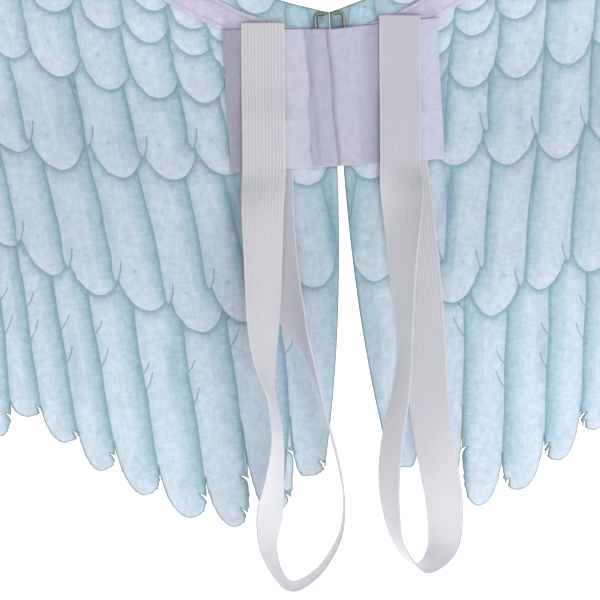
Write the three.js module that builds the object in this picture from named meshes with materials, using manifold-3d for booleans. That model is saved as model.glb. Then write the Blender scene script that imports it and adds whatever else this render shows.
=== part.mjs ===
// Angel wings worn on the back: two printed felt wings, the felt panel that joins them,
// two elastic arm loops and the two cloth strips that line the wings' arms.
// X runs along the wings, Y from the wearer to the wings' outer side, Z up; millimetres and degrees.
// The origin is the middle of the back panel, on the wings' centre line.
import * as THREE from "three";
import Module from "manifold-3d";
import { mergeVertices } from "three/addons/utils/BufferGeometryUtils.js";

const wasm = await Module();
wasm.setup();

// Driving dimensions
const halfSpan = 525;
const notchHeight = 47.6;
const shoulderHeight = 200;
const tipDrop = 249;
const feltThick = 1.6;
const sweepAngle = 8;
const tipBow = 16;
const waveHeight = 2.5;
const waveLength = 150;
const innerGap = 1.6;
const innerSpread = 18.8;
const hemWidth = 9;
const foldGap = 0.5;
const hemCorner = 3;
const panelWidth = 125.8;
const panelHeight = 82.2;
const panelThick = 1.6;
const panelTopDip = 3.6;
const grooveDip = 0.8;
const strapWidth = 25;
const strapThick = 1.2;
const strapOffset = 40;
const strapDrift = 4.6;
const strapTopRise = 2.6;
const tuckDepth = 26;
const leftLoopHang = 239;
const rightLoopHang = 236;
const loopReach = 16;
const casingWidth = 15;
const casingThick = 1;
const casingDome = 2;
const clearance = 0.3;

// Levels that follow from the sizes, as distances from the felt's middle towards the wearer
const wingFace = feltThick / 2;
const tuckLevel = wingFace + clearance + strapThick / 2;
const panelLevel = wingFace + clearance + panelThick / 2;
const hemRise = foldGap + feltThick;
const tuckRise = strapThick + clearance;
const strapLevel = panelLevel + panelThick / 2 + clearance + strapThick / 2;
const panelBottom = -panelHeight / 2;
const tuckTop = panelBottom + tuckDepth;
const sweepSlope = Math.tan(THREE.MathUtils.degToRad(sweepAngle));

// Slopes on which the panel comes down from what lies under it, and the run of a strap's ramp
const creaseRun = 4;
const tuckRun = 8;
const rampRun = 25;

// Cuts leave no edge or sliver finer than this
const finest = 0.02;

// The top edge from the centre out: across as a share of halfSpan, up as a share of the
// rise from the notch to the shoulder
const topEdge = [
  { across: 0.0225, up: 0.017 },
  { across: 0.063, up: 0.065 },
  { across: 0.152, up: 0.2 },
  { across: 0.267, up: 0.455 },
  { across: 0.381, up: 0.72 },
  { across: 0.495, up: 0.91 },
  { across: 0.61, up: 1 },
  { across: 0.724, up: 0.955 },
  { across: 0.819, up: 0.79 },
  { across: 0.905, up: 0.53 },
  { across: 0.957, up: 0.29 },
];

// The flight feathers from the inner edge out: each one's tip and the slit after it, across as a
// share of halfSpan and down as a share of tipDrop, and its lean from straight down in degrees
const flightFeathers = [
  { tip: 0.061, down: 0.889, slit: 0.072, slitDown: 0.747, lean: 2 },
  { tip: 0.101, down: 0.976, slit: 0.126, slitDown: 0.752, lean: -3 },
  { tip: 0.139, down: 1, slit: 0.17, slitDown: 0.877, lean: -5 },
  { tip: 0.187, down: 0.972, slit: 0.221, slitDown: 0.843, lean: -5 },
  { tip: 0.237, down: 0.911, slit: 0.268, slitDown: 0.782, lean: -6 },
  { tip: 0.284, down: 0.848, slit: 0.307, slitDown: 0.75, lean: -6 },
  { tip: 0.321, down: 0.777, slit: 0.346, slitDown: 0.689, lean: -5 },
  { tip: 0.359, down: 0.711, slit: 0.379, slitDown: 0.672, lean: -3 },
  { tip: 0.395, down: 0.754, slit: 0.405, slitDown: 0.687, lean: 2 },
  { tip: 0.424, down: 0.79, slit: 0.437, slitDown: 0.655, lean: 6 },
  { tip: 0.476, down: 0.81, slit: 0.487, slitDown: 0.63, lean: 12 },
  { tip: 0.543, down: 0.79, slit: 0.541, slitDown: 0.575, lean: 20 },
  { tip: 0.613, down: 0.725, slit: 0.6, slitDown: 0.495, lean: 28 },
  { tip: 0.69, down: 0.622, slit: 0.663, slitDown: 0.388, lean: 36 },
  { tip: 0.766, down: 0.49, slit: 0.726, slitDown: 0.263, lean: 44 },
  { tip: 0.838, down: 0.33, slit: 0.788, slitDown: 0.127, lean: 53 },
  { tip: 0.905, down: 0.153, slit: 0.847, slitDown: -0.019, lean: 63 },
  { tip: 0.958, down: -0.04, slit: 0.898, slitDown: -0.179, lean: 73 },
  { tip: 0.994, down: -0.24, slit: 0.957, slitDown: -0.365, lean: 84 },
];

// The casing strip's middle line: across as a share of halfSpan, up as a share of shoulderHeight
const casingLine = [
  { across: 0.043, up: 0.162 },
  { across: 0.07, up: 0.181 },
  { across: 0.089, up: 0.203 },
  { across: 0.106, up: 0.223 },
  { across: 0.124, up: 0.252 },
  { across: 0.148, up: 0.286 },
  { across: 0.175, up: 0.332 },
  { across: 0.238, up: 0.44 },
  { across: 0.324, up: 0.575 },
  { across: 0.429, up: 0.71 },
  { across: 0.552, up: 0.8 },
  { across: 0.667, up: 0.8 },
  { across: 0.762, up: 0.715 },
  { across: 0.838, up: 0.575 },
];

// The arm loops below the panel, down one side and up the other: side as a share of strapOffset,
// down as a share of the loop's hang, out as a share of loopReach beyond what the strap needs to
// clear the felt, and the turn of the strap's width from straight back, in degrees
const leftLoop = [
  { side: 1.18, down: 0.089, out: 0.3, turn: 82 },
  { side: 1.22, down: 0.179, out: 0.42, turn: 71 },
  { side: 1.26, down: 0.27, out: 0.6, turn: 63 },
  { side: 1.31, down: 0.36, out: 0.78, turn: 53 },
  { side: 1.33, down: 0.452, out: 0.87, turn: 36 },
  { side: 1.27, down: 0.543, out: 0.9, turn: 16 },
  { side: 1.23, down: 0.635, out: 0.95, turn: 22 },
  { side: 1.3, down: 0.727, out: 1.01, turn: 32 },
  { side: 1.4, down: 0.818, out: 1.1, turn: 44 },
  { side: 1.44, down: 0.91, out: 1.04, turn: 26 },
  { side: 1.2, down: 0.995, out: 0.94, turn: 10 },
  { side: 0.78, down: 0.974, out: 0.75, turn: 8 },
  { side: 0.42, down: 0.896, out: 0.56, turn: 8 },
  { side: 0.31, down: 0.809, out: 0.47, turn: 8 },
  { side: 0.35, down: 0.716, out: 0.41, turn: 8 },
  { side: 0.45, down: 0.626, out: 0.31, turn: 7 },
  { side: 0.55, down: 0.536, out: 0.16, turn: 4 },
  { side: 0.67, down: 0.446, out: 0.06, turn: -5 },
  { side: 0.84, down: 0.366, out: 0.02, turn: -31 },
  { side: 0.97, down: 0.276, out: 0.02, turn: -53 },
  { side: 1.02, down: 0.185, out: 0.02, turn: -69 },
  { side: 1.02, down: 0.092, out: 0.01, turn: -78 },
];
const rightLoop = [
  { side: 0.85, down: 0.09, out: 0.16, turn: -66 },
  { side: 0.8, down: 0.18, out: 0.3, turn: -40 },
  { side: 0.75, down: 0.272, out: 0.44, turn: -27 },
  { side: 0.73, down: 0.367, out: 0.53, turn: -15 },
  { side: 0.7, down: 0.461, out: 0.59, turn: -9 },
  { side: 0.61, down: 0.555, out: 0.65, turn: -12 },
  { side: 0.47, down: 0.646, out: 0.66, turn: -18 },
  { side: 0.37, down: 0.74, out: 0.63, turn: -19 },
  { side: 0.35, down: 0.834, out: 0.62, turn: -15 },
  { side: 0.44, down: 0.929, out: 0.64, turn: -7 },
  { side: 0.74, down: 0.996, out: 0.74, turn: -8 },
  { side: 1.08, down: 0.945, out: 0.95, turn: -33 },
  { side: 1.15, down: 0.846, out: 0.98, turn: -47 },
  { side: 1.11, down: 0.752, out: 0.84, turn: -54 },
  { side: 1.07, down: 0.658, out: 0.58, turn: -54 },
  { side: 1.06, down: 0.566, out: 0.32, turn: -59 },
  { side: 1.07, down: 0.473, out: 0.15, turn: -68 },
  { side: 1.08, down: 0.379, out: 0.05, turn: -76 },
  { side: 1.07, down: 0.285, out: 0.02, turn: -82 },
  { side: 1.05, down: 0.19, out: 0.01, turn: -88 },
  { side: 1.03, down: 0.095, out: 0.01, turn: -94 },
];

const felt = new THREE.MeshStandardMaterial({ color: 0xb9d3dc, roughness: 0.95, metalness: 0 });
const panelCloth = new THREE.MeshStandardMaterial({ color: 0xcac8d8, roughness: 0.95, metalness: 0 });
const elastic = new THREE.MeshStandardMaterial({ color: 0xe6e5ea, roughness: 0.8, metalness: 0 });
const casingCloth = new THREE.MeshStandardMaterial({ color: 0xc4bcd2, roughness: 0.95, metalness: 0 });

// A share from 0 to 1 of the way from start to end, eased at both
const eased = (value, start, end) => THREE.MathUtils.smoothstep(value, start, end);

// How far the felt's middle lies behind the origin: the sweep, the tips' bow and slow waves
// that grow downwards, all flat behind the panel
function feltDepth(x, z) {
  const out = Math.abs(x);
  const beyond = Math.max(0, out - panelWidth / 2) / (halfSpan - panelWidth / 2);
  const fade = eased(out, panelWidth / 2, panelWidth / 2 + waveLength / 2);
  const down = THREE.MathUtils.clamp((shoulderHeight - z) / (shoulderHeight + tipDrop), 0, 1);
  const wave = Math.sin((2 * Math.PI * out) / waveLength) * (1 + down) * 0.5;
  return out * sweepSlope + tipBow * beyond * beyond + waveHeight * fade * wave;
}

// A closed solid between two grids of points: columns along, rows across, front facing
// along columns times rows
function gridSolid(columns, rows, frontPoint, backPoint) {
  const positions = [];
  for (const point of [frontPoint, backPoint])
    for (let i = 0; i < columns; i++)
      for (let j = 0; j < rows; j++) positions.push(...point(i, j));
  const layer = columns * rows;
  const faces = [];
  const quad = (a, b, c, d) => faces.push(a, b, c, a, c, d);
  for (let i = 0; i < columns - 1; i++)
    for (let j = 0; j < rows - 1; j++) {
      const a = i * rows + j;
      const b = a + rows;
      quad(a, b, b + 1, a + 1);
      quad(layer + a, layer + a + 1, layer + b + 1, layer + b);
    }
  for (let i = 0; i < columns - 1; i++)
    for (const j of [0, rows - 1]) {
      const a = i * rows + j;
      const b = a + rows;
      if (j === 0) quad(a, layer + a, layer + b, b);
      else quad(a, b, layer + b, layer + a);
    }
  for (let j = 0; j < rows - 1; j++)
    for (const i of [0, columns - 1]) {
      const a = i * rows + j;
      if (i === 0) quad(a, a + 1, layer + a + 1, layer + a);
      else quad(a, layer + a, layer + a + 1, a + 1);
    }
  const geometry = new THREE.BufferGeometry();
  geometry.setAttribute("position", new THREE.Float32BufferAttribute(positions, 3));
  geometry.setIndex(faces);
  return geometry;
}

// A geometry as a solid that can be joined and cut
function toSolid(geometry) {
  const bare = geometry.clone();
  bare.deleteAttribute("normal");
  bare.deleteAttribute("uv");
  const merged = mergeVertices(bare);
  const vertProperties = Float32Array.from(merged.attributes.position.array);
  const triVerts = Uint32Array.from(merged.index.array);
  return new wasm.Manifold(new wasm.Mesh({ numProp: 3, vertProperties, triVerts }));
}

function fromSolid(solid) {
  const { vertProperties, triVerts } = solid.getMesh();
  const geometry = new THREE.BufferGeometry();
  geometry.setAttribute("position", new THREE.BufferAttribute(vertProperties, 3));
  geometry.setIndex(new THREE.BufferAttribute(triVerts, 1));
  return geometry;
}

function namedMesh(name, geometry, material) {
  const mesh = new THREE.Mesh(geometry, material);
  mesh.name = name;
  return mesh;
}

// A flat outline in X and Z, carried right through the wing along Y
function throughCut(points) {
  const depth = halfSpan;
  const cut = new THREE.ExtrudeGeometry(new THREE.Shape(points), { depth, bevelEnabled: false });
  cut.rotateX(Math.PI / 2).translate(0, depth / 2, 0);
  return toSolid(cut);
}

// One feather's edge from the slit before it, round its tip and up to the slit after it
function featherEdge(before, tip, after, lean) {
  const turn = THREE.MathUtils.degToRad(lean);
  const down = new THREE.Vector2(Math.sin(turn), -Math.cos(turn));
  const aside = new THREE.Vector2(Math.cos(turn), Math.sin(turn));
  const along = (from, share) => down.clone().multiplyScalar(tip.clone().sub(from).dot(down) * share);
  const sideways = (from, share) => aside.clone().multiplyScalar(tip.clone().sub(from).dot(aside) * share);
  const inner = new THREE.CubicBezierCurve(
    before,
    before.clone().add(along(before, 0.78)),
    tip.clone().sub(sideways(before, 0.75)),
    tip,
  );
  const outer = new THREE.CubicBezierCurve(
    tip,
    tip.clone().sub(sideways(after, 0.62)),
    after.clone().add(along(after, 0.5)),
    after,
  );
  return [...inner.getPoints(7).slice(1), ...outer.getPoints(7).slice(1)];
}

// The right wing's outline, from the notch along the top edge, round the tips and up the inner edge
function wingOutline() {
  const rise = shoulderHeight - notchHeight;
  const foldRadius = feltThick + foldGap / 2;
  const sheetStart = innerGap + foldRadius;
  const top = topEdge.map((row) => new THREE.Vector2(row.across * halfSpan, notchHeight + row.up * rise));
  top.unshift(new THREE.Vector2(sheetStart, notchHeight));
  const outline = new THREE.SplineCurve(top).getPoints(44);
  const slits = flightFeathers.map((row) => new THREE.Vector2(row.slit * halfSpan, -row.slitDown * tipDrop));
  const innerTip = -flightFeathers[0].down * tipDrop;
  const innerSteps = 9;
  const innerEdge = [];
  for (let i = 0; i <= innerSteps; i++) {
    const z = THREE.MathUtils.lerp(panelBottom, innerTip * 0.96, i / innerSteps);
    innerEdge.push(new THREE.Vector2(innerGap + innerSpread * (z / innerTip) ** 2.4, z));
  }
  const edgeEnd = innerEdge[innerSteps];
  slits[slits.length - 1] = outline[outline.length - 1].clone();
  for (let i = flightFeathers.length - 1; i >= 0; i--) {
    const row = flightFeathers[i];
    const tip = new THREE.Vector2(row.tip * halfSpan, -row.down * tipDrop);
    const before = i > 0 ? slits[i - 1] : edgeEnd;
    const edge = featherEdge(before, tip, slits[i], row.lean).reverse();
    outline.push(...edge.slice(1), before);
  }
  outline.push(...innerEdge.slice(0, -1).reverse());
  outline.push(new THREE.Vector2(sheetStart, panelBottom));
  return outline;
}

// The felt folded back on itself beside the centre line, as a U in X and Y carried up Z, with a
// tongue that enters the sheet
function hemFold() {
  const radius = feltThick + foldGap / 2;
  const centre = innerGap + radius;
  const middle = wingFace + foldGap / 2;
  const end = innerGap + hemWidth;
  const section = new THREE.Shape();
  section.moveTo(end, -wingFace - hemRise);
  section.lineTo(end, -wingFace - foldGap);
  section.absarc(centre, -middle, foldGap / 2, -Math.PI / 2, Math.PI / 2, true);
  const inset = feltThick / 5;
  section.lineTo(centre, inset - wingFace);
  section.lineTo(centre + feltThick, inset - wingFace);
  section.lineTo(centre + feltThick, wingFace - inset);
  section.lineTo(centre, wingFace - inset);
  section.lineTo(centre, wingFace);
  section.absarc(centre, -middle, radius, Math.PI / 2, -Math.PI / 2, false);
  const height = notchHeight - panelBottom;
  const options = { depth: height, bevelEnabled: false, curveSegments: 6 };
  const fold = new THREE.ExtrudeGeometry(section, options).translate(0, 0, panelBottom);
  const place = fold.attributes.position;
  for (let i = 0; i < place.count; i++) place.setY(i, place.getY(i) + place.getX(i) * sweepSlope);
  const flap = new THREE.Shape();
  flap.moveTo(0, panelBottom - 1);
  flap.lineTo(end + 1, panelBottom - 1);
  flap.lineTo(end + 1, notchHeight - hemCorner);
  flap.lineTo(end, notchHeight - hemCorner);
  flap.absarc(end - hemCorner, notchHeight - hemCorner, hemCorner, 0, Math.PI / 2, false);
  flap.lineTo(end - hemCorner, notchHeight + 1);
  flap.lineTo(0, notchHeight + 1);
  return toSolid(fold).intersect(throughCut(flap.getPoints(5)));
}

// The right wing: a thin curved sheet cut to the outline, with its folded hem
function wingSolid() {
  const columns = 40;
  const rows = 7;
  const reach = halfSpan * 1.02;
  const low = -tipDrop * 1.02;
  const high = shoulderHeight * 1.04;
  const sheetPoint = (side) => (i, j) => {
    const x = (reach * i) / (columns - 1);
    const z = THREE.MathUtils.lerp(low, high, j / (rows - 1));
    return [x, feltDepth(x, z) + side * wingFace, z];
  };
  const sheet = toSolid(gridSolid(columns, rows, sheetPoint(-1), sheetPoint(1)));
  return sheet.intersect(throughCut(wingOutline())).add(hemFold()).simplify(finest);
}

// How far the panel is lifted off its plain level by the hems and the straps' tucked ends
function panelLift(x, z) {
  const out = Math.abs(x);
  const hemEnd = innerGap + hemWidth;
  const overHem = 1 - THREE.MathUtils.clamp((out - hemEnd - clearance) / creaseRun, 0, 1);
  const dip = grooveDip * (1 - THREE.MathUtils.clamp(out / (innerGap + feltThick), 0, 1));
  const half = strapWidth / 2 + clearance;
  const besideTuck = Math.abs(out - strapOffset) - half;
  const overTuck = 1 - THREE.MathUtils.clamp(besideTuck / creaseRun, 0, 1);
  const aboveTuck = 1 - THREE.MathUtils.clamp((z - tuckTop - clearance) / tuckRun, 0, 1);
  return Math.max(hemRise * overHem - dip, tuckRise * overTuck * aboveTuck);
}

// The height of the panel's top edge, which dips towards the middle
function panelTop(x) {
  const share = Math.min(Math.abs(x) / (panelWidth / 2), 1);
  return panelHeight / 2 - panelTopDip * (1 - share) ** 1.2;
}

function backPanel() {
  const half = panelWidth / 2;
  const hemEnd = innerGap + hemWidth + clearance;
  const tuckHalf = strapWidth / 2 + clearance;
  const breaks = [0, (innerGap + feltThick) / 2, innerGap + feltThick, hemEnd / 2 + 1, hemEnd];
  breaks.push(hemEnd + creaseRun / 2, hemEnd + creaseRun, half);
  breaks.push(strapOffset - tuckHalf - creaseRun, strapOffset - tuckHalf, strapOffset);
  breaks.push(strapOffset + tuckHalf, strapOffset + tuckHalf + creaseRun);
  const sides = breaks.flatMap((x) => (x > 0 ? [-x, x] : [x]));
  const across = sides.filter((x) => Math.abs(x) <= half).sort((a, b) => a - b);
  const up = [panelBottom, tuckTop + clearance, tuckTop + clearance + tuckRun];
  const face = (side) => (i, j) => {
    const x = across[i];
    const z = j < up.length ? up[j] : panelTop(x);
    const level = panelLevel + panelLift(x, z) - (side * panelThick) / 2;
    return [x, Math.abs(x) * sweepSlope - level, z];
  };
  const geometry = gridSolid(across.length, up.length + 1, face(-1), face(1));
  return namedMesh("back_panel", geometry, panelCloth);
}

// A value of the rows at a station between them: without overshoot, or smooth through each row
function between(values, station, overshoot) {
  const i = Math.min(Math.floor(station), values.length - 2);
  const share = station - i;
  const step = (j) => values[Math.min(j + 1, values.length - 1)] - values[Math.max(j, 0)];
  const slope = (j) => {
    const before = step(j - 1);
    const after = step(j);
    if (overshoot) return (before + after) / 2;
    return before * after > 0 ? (2 * before * after) / (before + after) : 0;
  };
  const cube = share ** 3;
  const square = share ** 2;
  return (
    values[i] * (2 * cube - 3 * square + 1) +
    values[i + 1] * (3 * square - 2 * cube) +
    slope(i) * (cube - 2 * square + share) +
    slope(i + 1) * (cube - square)
  );
}

// One elastic arm loop: its front end on the panel, its back end tucked behind the panel's bottom edge
function armStrap(name, side, loop, hang, startTurn, endTurn) {
  const high = panelHeight / 2;
  const drift = (z) => (strapDrift * (z - high)) / panelHeight;
  const heights = [high + strapTopRise, 0, tuckTop + rampRun, tuckTop, panelBottom];
  heights[1] = (heights[0] + heights[2]) / 2;
  const rows = heights.map((z, i) => {
    const level = i < 3 ? strapLevel : strapLevel + tuckRise;
    return { x: side * strapOffset + drift(z), z, level, turn: startTurn };
  });
  for (const row of loop) {
    const turn = THREE.MathUtils.degToRad(row.turn);
    const sweep = THREE.MathUtils.degToRad(side * sweepAngle);
    const overFelt = Math.abs(Math.cos(turn + sweep)) * (strapWidth / 2);
    const level = wingFace + clearance + strapThick / 2 + overFelt + row.out * loopReach;
    const z = panelBottom - row.down * hang;
    rows.push({ x: side * row.side * strapOffset, z, level, turn: row.turn });
  }
  rows.push({ x: side * strapOffset, z: panelBottom, level: tuckLevel, turn: endTurn });
  rows.push({ x: side * strapOffset, z: tuckTop, level: tuckLevel, turn: endTurn });

  const column = (key) => rows.map((row) => row[key]);
  const middle = (station) => {
    const x = between(column("x"), station, true);
    const z = between(column("z"), station, true);
    const y = Math.abs(x) * sweepSlope - between(column("level"), station, false);
    return new THREE.Vector3(x, y, z);
  };
  const perRow = 3;
  const stations = (rows.length - 1) * perRow + 1;
  const corner = (face) => (i, j) => {
    const station = i / perRow;
    const centre = middle(station);
    const near = 0.05;
    const last = rows.length - 1;
    const forward = middle(Math.min(station + near, last)).sub(middle(Math.max(station - near, 0)));
    forward.normalize();
    const turn = THREE.MathUtils.degToRad(between(column("turn"), station, false));
    const width = new THREE.Vector3(Math.sin(turn), Math.cos(turn), 0);
    width.addScaledVector(forward, -width.dot(forward)).normalize();
    const outwards = new THREE.Vector3().crossVectors(forward, width);
    centre.addScaledVector(width, (j - 0.5) * strapWidth);
    return centre.addScaledVector(outwards, (face * strapThick) / 2).toArray();
  };
  return namedMesh(name, gridSolid(stations, 2, corner(1), corner(-1)), elastic);
}

// The cloth strip along the right wing's arm, domed over its middle and flat where it meets the panel
function casingSolid() {
  const line = casingLine.map((row) => new THREE.Vector2(row.across * halfSpan, row.up * shoulderHeight));
  const curve = new THREE.SplineCurve(line);
  const shares = [-0.5, -0.3, -0.13, 0.13, 0.3, 0.5];
  const domes = [0, 0.25, 0.95, 0.95, 0.25, 0];
  const stations = 44;
  const point = (face) => (i, j) => {
    const share = i / (stations - 1);
    const at = curve.getPoint(share);
    const along = curve.getTangent(share);
    const x = at.x - along.y * shares[j] * casingWidth;
    const z = at.y + along.x * shares[j] * casingWidth;
    const dome = casingDome * domes[j] * eased(at.x, panelWidth / 2, panelWidth / 2 + casingWidth * 2);
    const level = wingFace + clearance + (face > 0 ? casingThick + dome : 0);
    return [x, feltDepth(x, z) - level, z];
  };
  const strip = toSolid(gridSolid(stations, shares.length, point(1), point(-1)));
  const half = panelWidth / 2;
  const overPanel = [new THREE.Vector2(0, 0), new THREE.Vector2(half + clearance, 0)];
  const steps = 8;
  for (let i = steps; i >= 0; i--) {
    const x = (half * i) / steps;
    overPanel.push(new THREE.Vector2(i === steps ? half + clearance : x, panelTop(x) + clearance));
  }
  return strip.subtract(throughCut(overPanel)).simplify(finest);
}

const wings = new THREE.Group();
const wingGeometry = fromSolid(wingSolid());
const casingGeometry = fromSolid(casingSolid());
for (const [name, side] of [["left", -1], ["right", 1]]) {
  const wing = namedMesh("wing_" + name, wingGeometry, felt);
  const casing = namedMesh("casing_" + name, casingGeometry, casingCloth);
  wing.scale.x = side;
  casing.scale.x = side;
  wings.add(wing, casing);
}
wings.add(backPanel());
wings.add(armStrap("strap_left", -1, leftLoop, leftLoopHang, 90 + sweepAngle, sweepAngle - 90));
wings.add(armStrap("strap_right", 1, rightLoop, rightLoopHang, -90 - sweepAngle, -90 - sweepAngle));

export default wings;
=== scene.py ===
import math

import bpy
import numpy as np
from mathutils import Matrix, Vector
from mathutils.geometry import delaunay_2d_cdt


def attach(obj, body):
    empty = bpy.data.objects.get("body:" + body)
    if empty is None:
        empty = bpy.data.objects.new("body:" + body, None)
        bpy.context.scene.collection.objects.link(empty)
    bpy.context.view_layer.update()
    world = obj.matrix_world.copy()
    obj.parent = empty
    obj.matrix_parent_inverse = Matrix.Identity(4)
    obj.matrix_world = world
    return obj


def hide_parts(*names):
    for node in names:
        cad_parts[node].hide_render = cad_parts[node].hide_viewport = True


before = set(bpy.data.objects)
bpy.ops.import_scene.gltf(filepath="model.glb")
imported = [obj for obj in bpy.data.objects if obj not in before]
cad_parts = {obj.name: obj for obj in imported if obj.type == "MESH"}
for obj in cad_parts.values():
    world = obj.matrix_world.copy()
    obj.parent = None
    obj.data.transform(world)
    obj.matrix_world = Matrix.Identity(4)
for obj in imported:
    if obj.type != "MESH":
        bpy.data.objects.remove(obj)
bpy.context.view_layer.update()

mm = 0.001
# the lengths stored as texture places are in steps of this many millimetres
storedLength = 100

# the sizes that the solids have too
body = dict(
    halfSpan=525, notchHeight=47.6, shoulderHeight=200, tipDrop=249,
    feltThick=1.6, sweepAngle=8, tipBow=16, waveHeight=2.5, waveLength=150,
    innerGap=1.6, innerSpread=18.8, hemWidth=9, foldGap=0.5, hemCorner=3,
    panelWidth=125.8, panelHeight=82.2, panelThick=1.6, panelTopDip=3.6,
    strapWidth=25, strapThick=1.2, strapOffset=40, strapDrift=4.6, strapTopRise=2.6,
    tuckDepth=26, loopReach=16, casingWidth=15, casingThick=1, casingDome=2, clearance=0.3,
)
wingFace = body["feltThick"] / 2
tuckLevel = wingFace + body["clearance"] + body["strapThick"] / 2
panelLevel = wingFace + body["clearance"] + body["panelThick"] / 2
hemRise = body["foldGap"] + body["feltThick"]
tuckRise = body["strapThick"] + body["clearance"]
strapLevel = panelLevel + body["panelThick"] / 2 + body["clearance"] + body["strapThick"] / 2
panelBottom = -body["panelHeight"] / 2
tuckTop = panelBottom + body["tuckDepth"]
sweepSlope = math.tan(math.radians(body["sweepAngle"]))


def eased(value, start, end):
    # 3t2 - 2t3 on the share t of the way from start to end
    share = np.clip((np.asarray(value, float) - start) / (end - start), 0, 1)
    return share * share * (3 - 2 * share)


def feltDepth(x, z):
    # how far the felt's middle lies behind the origin: sweep, bow of the tips and slow waves
    out = np.abs(x)
    start = body["panelWidth"] / 2
    beyond = np.maximum(0, out - start) / (body["halfSpan"] - start)
    fade = eased(out, start, start + body["waveLength"] / 2)
    down = np.clip((body["shoulderHeight"] - z) / (body["shoulderHeight"] + body["tipDrop"]), 0, 1)
    wave = np.sin(2 * np.pi * out / body["waveLength"]) * (1 + down) / 2
    return out * sweepSlope + body["tipBow"] * beyond**2 + body["waveHeight"] * fade * wave


def ripple(x, z, seed, size, octaves=3):
    # soft unevenness: a sum of crossed sines in seeded directions, each octave twice as fine
    rng = np.random.default_rng(seed)
    total = np.zeros(np.broadcast(x, z).shape)
    for octave in range(octaves):
        for _ in range(4):
            angle, phase = rng.uniform(0, 2 * np.pi, 2)
            reach = size / 2**octave * rng.uniform(0.8, 1.25)
            along = (x * math.cos(angle) + z * math.sin(angle)) * 2 * np.pi / reach
            total = total + np.sin(along + phase) / 2**octave
    return total / 4


def throughPoints(points, perStep):
    # Catmull-Rom through every point, with perStep samples to each step
    p = np.asarray(points, float)
    p = np.vstack([2 * p[0] - p[1], p, 2 * p[-1] - p[-2]])
    t = (np.arange(perStep) / perStep)[None, :, None]
    a, b, c, d = (p[i : len(p) - 3 + i, None, :] for i in range(4))
    curve = 2 * b + (c - a) * t + (2 * a - 5 * b + 4 * c - d) * t**2 + (3 * b - a - 3 * c + d) * t**3
    return np.vstack([0.5 * curve.reshape(-1, p.shape[1]), p[-2]])


def evenly(curve, count):
    # count points at equal steps along a polyline
    reach = np.r_[0, np.cumsum(np.linalg.norm(np.diff(curve, axis=0), axis=1))]
    at = np.linspace(0, reach[-1], count)
    return np.stack([np.interp(at, reach, curve[:, k]) for k in range(curve.shape[1])], 1)


def makePiece(name, points, faces, material, corners=None):
    # one mesh from points in millimetres and faces; corners holds values for each face corner
    mesh = bpy.data.meshes.new(name)
    mesh.from_pydata((np.asarray(points) * mm).tolist(), [], np.asarray(faces).tolist())
    for key, values in (corners or {}).items():
        if values.ndim == 2:
            mesh.uv_layers.new(name=key).data.foreach_set("uv", values.astype(np.float32).ravel())
        else:
            layer = mesh.attributes.new(key, "FLOAT", "CORNER")
            layer.data.foreach_set("value", values.astype(np.float32))
    mesh.polygons.foreach_set("use_smooth", np.ones(len(mesh.polygons), bool))
    mesh.materials.append(material)
    piece = bpy.data.objects.new(name, mesh)
    bpy.context.collection.objects.link(piece)
    return piece


# Node helpers
def addNode(tree, kind, links=None, **settings):
    # settings are properties of the node; links are socket values or outputs of other nodes
    node = tree.nodes.new(kind)
    for key, value in settings.items():
        setattr(node, key, value)
    for key, value in (links or {}).items():
        if isinstance(value, bpy.types.NodeSocket):
            tree.links.new(value, node.inputs[key])
        else:
            node.inputs[key].default_value = value
    return node


def maths(tree, operation, a, b=0.0, clamp=False):
    return addNode(tree, "ShaderNodeMath", {0: a, 1: b}, operation=operation, use_clamp=clamp).outputs[0]


def times(tree, a, b):
    return maths(tree, "MULTIPLY", a, b)


def added(tree, a, b, clamp=False):
    return maths(tree, "ADD", a, b, clamp)


def blended(tree, share, first, second, kind="MIX"):
    links = {0: share, 6: first, 7: second}
    return addNode(tree, "ShaderNodeMix", links, data_type="RGBA", blend_type=kind).outputs[2]


def between(tree, value, start, end, low=0.0, high=1.0):
    # a value from start to end as one from low to high, eased and held past both
    links = {"Value": value, "From Min": start, "From Max": end, "To Min": low, "To Max": high}
    return addNode(tree, "ShaderNodeMapRange", links, interpolation_type="SMOOTHSTEP").outputs[0]


def named(tree, name, output="Vector"):
    node = addNode(tree, "ShaderNodeAttribute", attribute_name=name, attribute_type="GEOMETRY")
    return node.outputs[output]


def marked(tree, *names):
    return [named(tree, name, "Fac") for name in names]


def parts(tree, vector):
    return addNode(tree, "ShaderNodeSeparateXYZ", {0: vector}).outputs


def objectPlace(tree):
    return addNode(tree, "ShaderNodeTexCoord").outputs["Object"]


def noise(tree, scale, detail=3.0, rough=0.55, place=None, stretch=None):
    place = place or objectPlace(tree)
    if stretch:
        place = addNode(tree, "ShaderNodeMapping", {"Vector": place, "Scale": stretch}).outputs[0]
    links = {"Vector": place, "Scale": scale, "Detail": detail, "Roughness": rough}
    return addNode(tree, "ShaderNodeTexNoise", links).outputs[0]


def rgb(red, green, blue):
    # a colour as read on a screen, 0 to 255, in linear light
    def linear(c):
        c = c / 255
        return c / 12.92 if c <= 0.04045 else ((c + 0.055) / 1.055) ** 2.4

    return linear(red), linear(green), linear(blue), 1.0


def painted(tree, base, *coats):
    # a screen colour with shares of others laid over it, one after another
    colour = rgb(*base)
    for share, coat in coats:
        colour = blended(tree, share, colour, rgb(*coat))
    return colour


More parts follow.
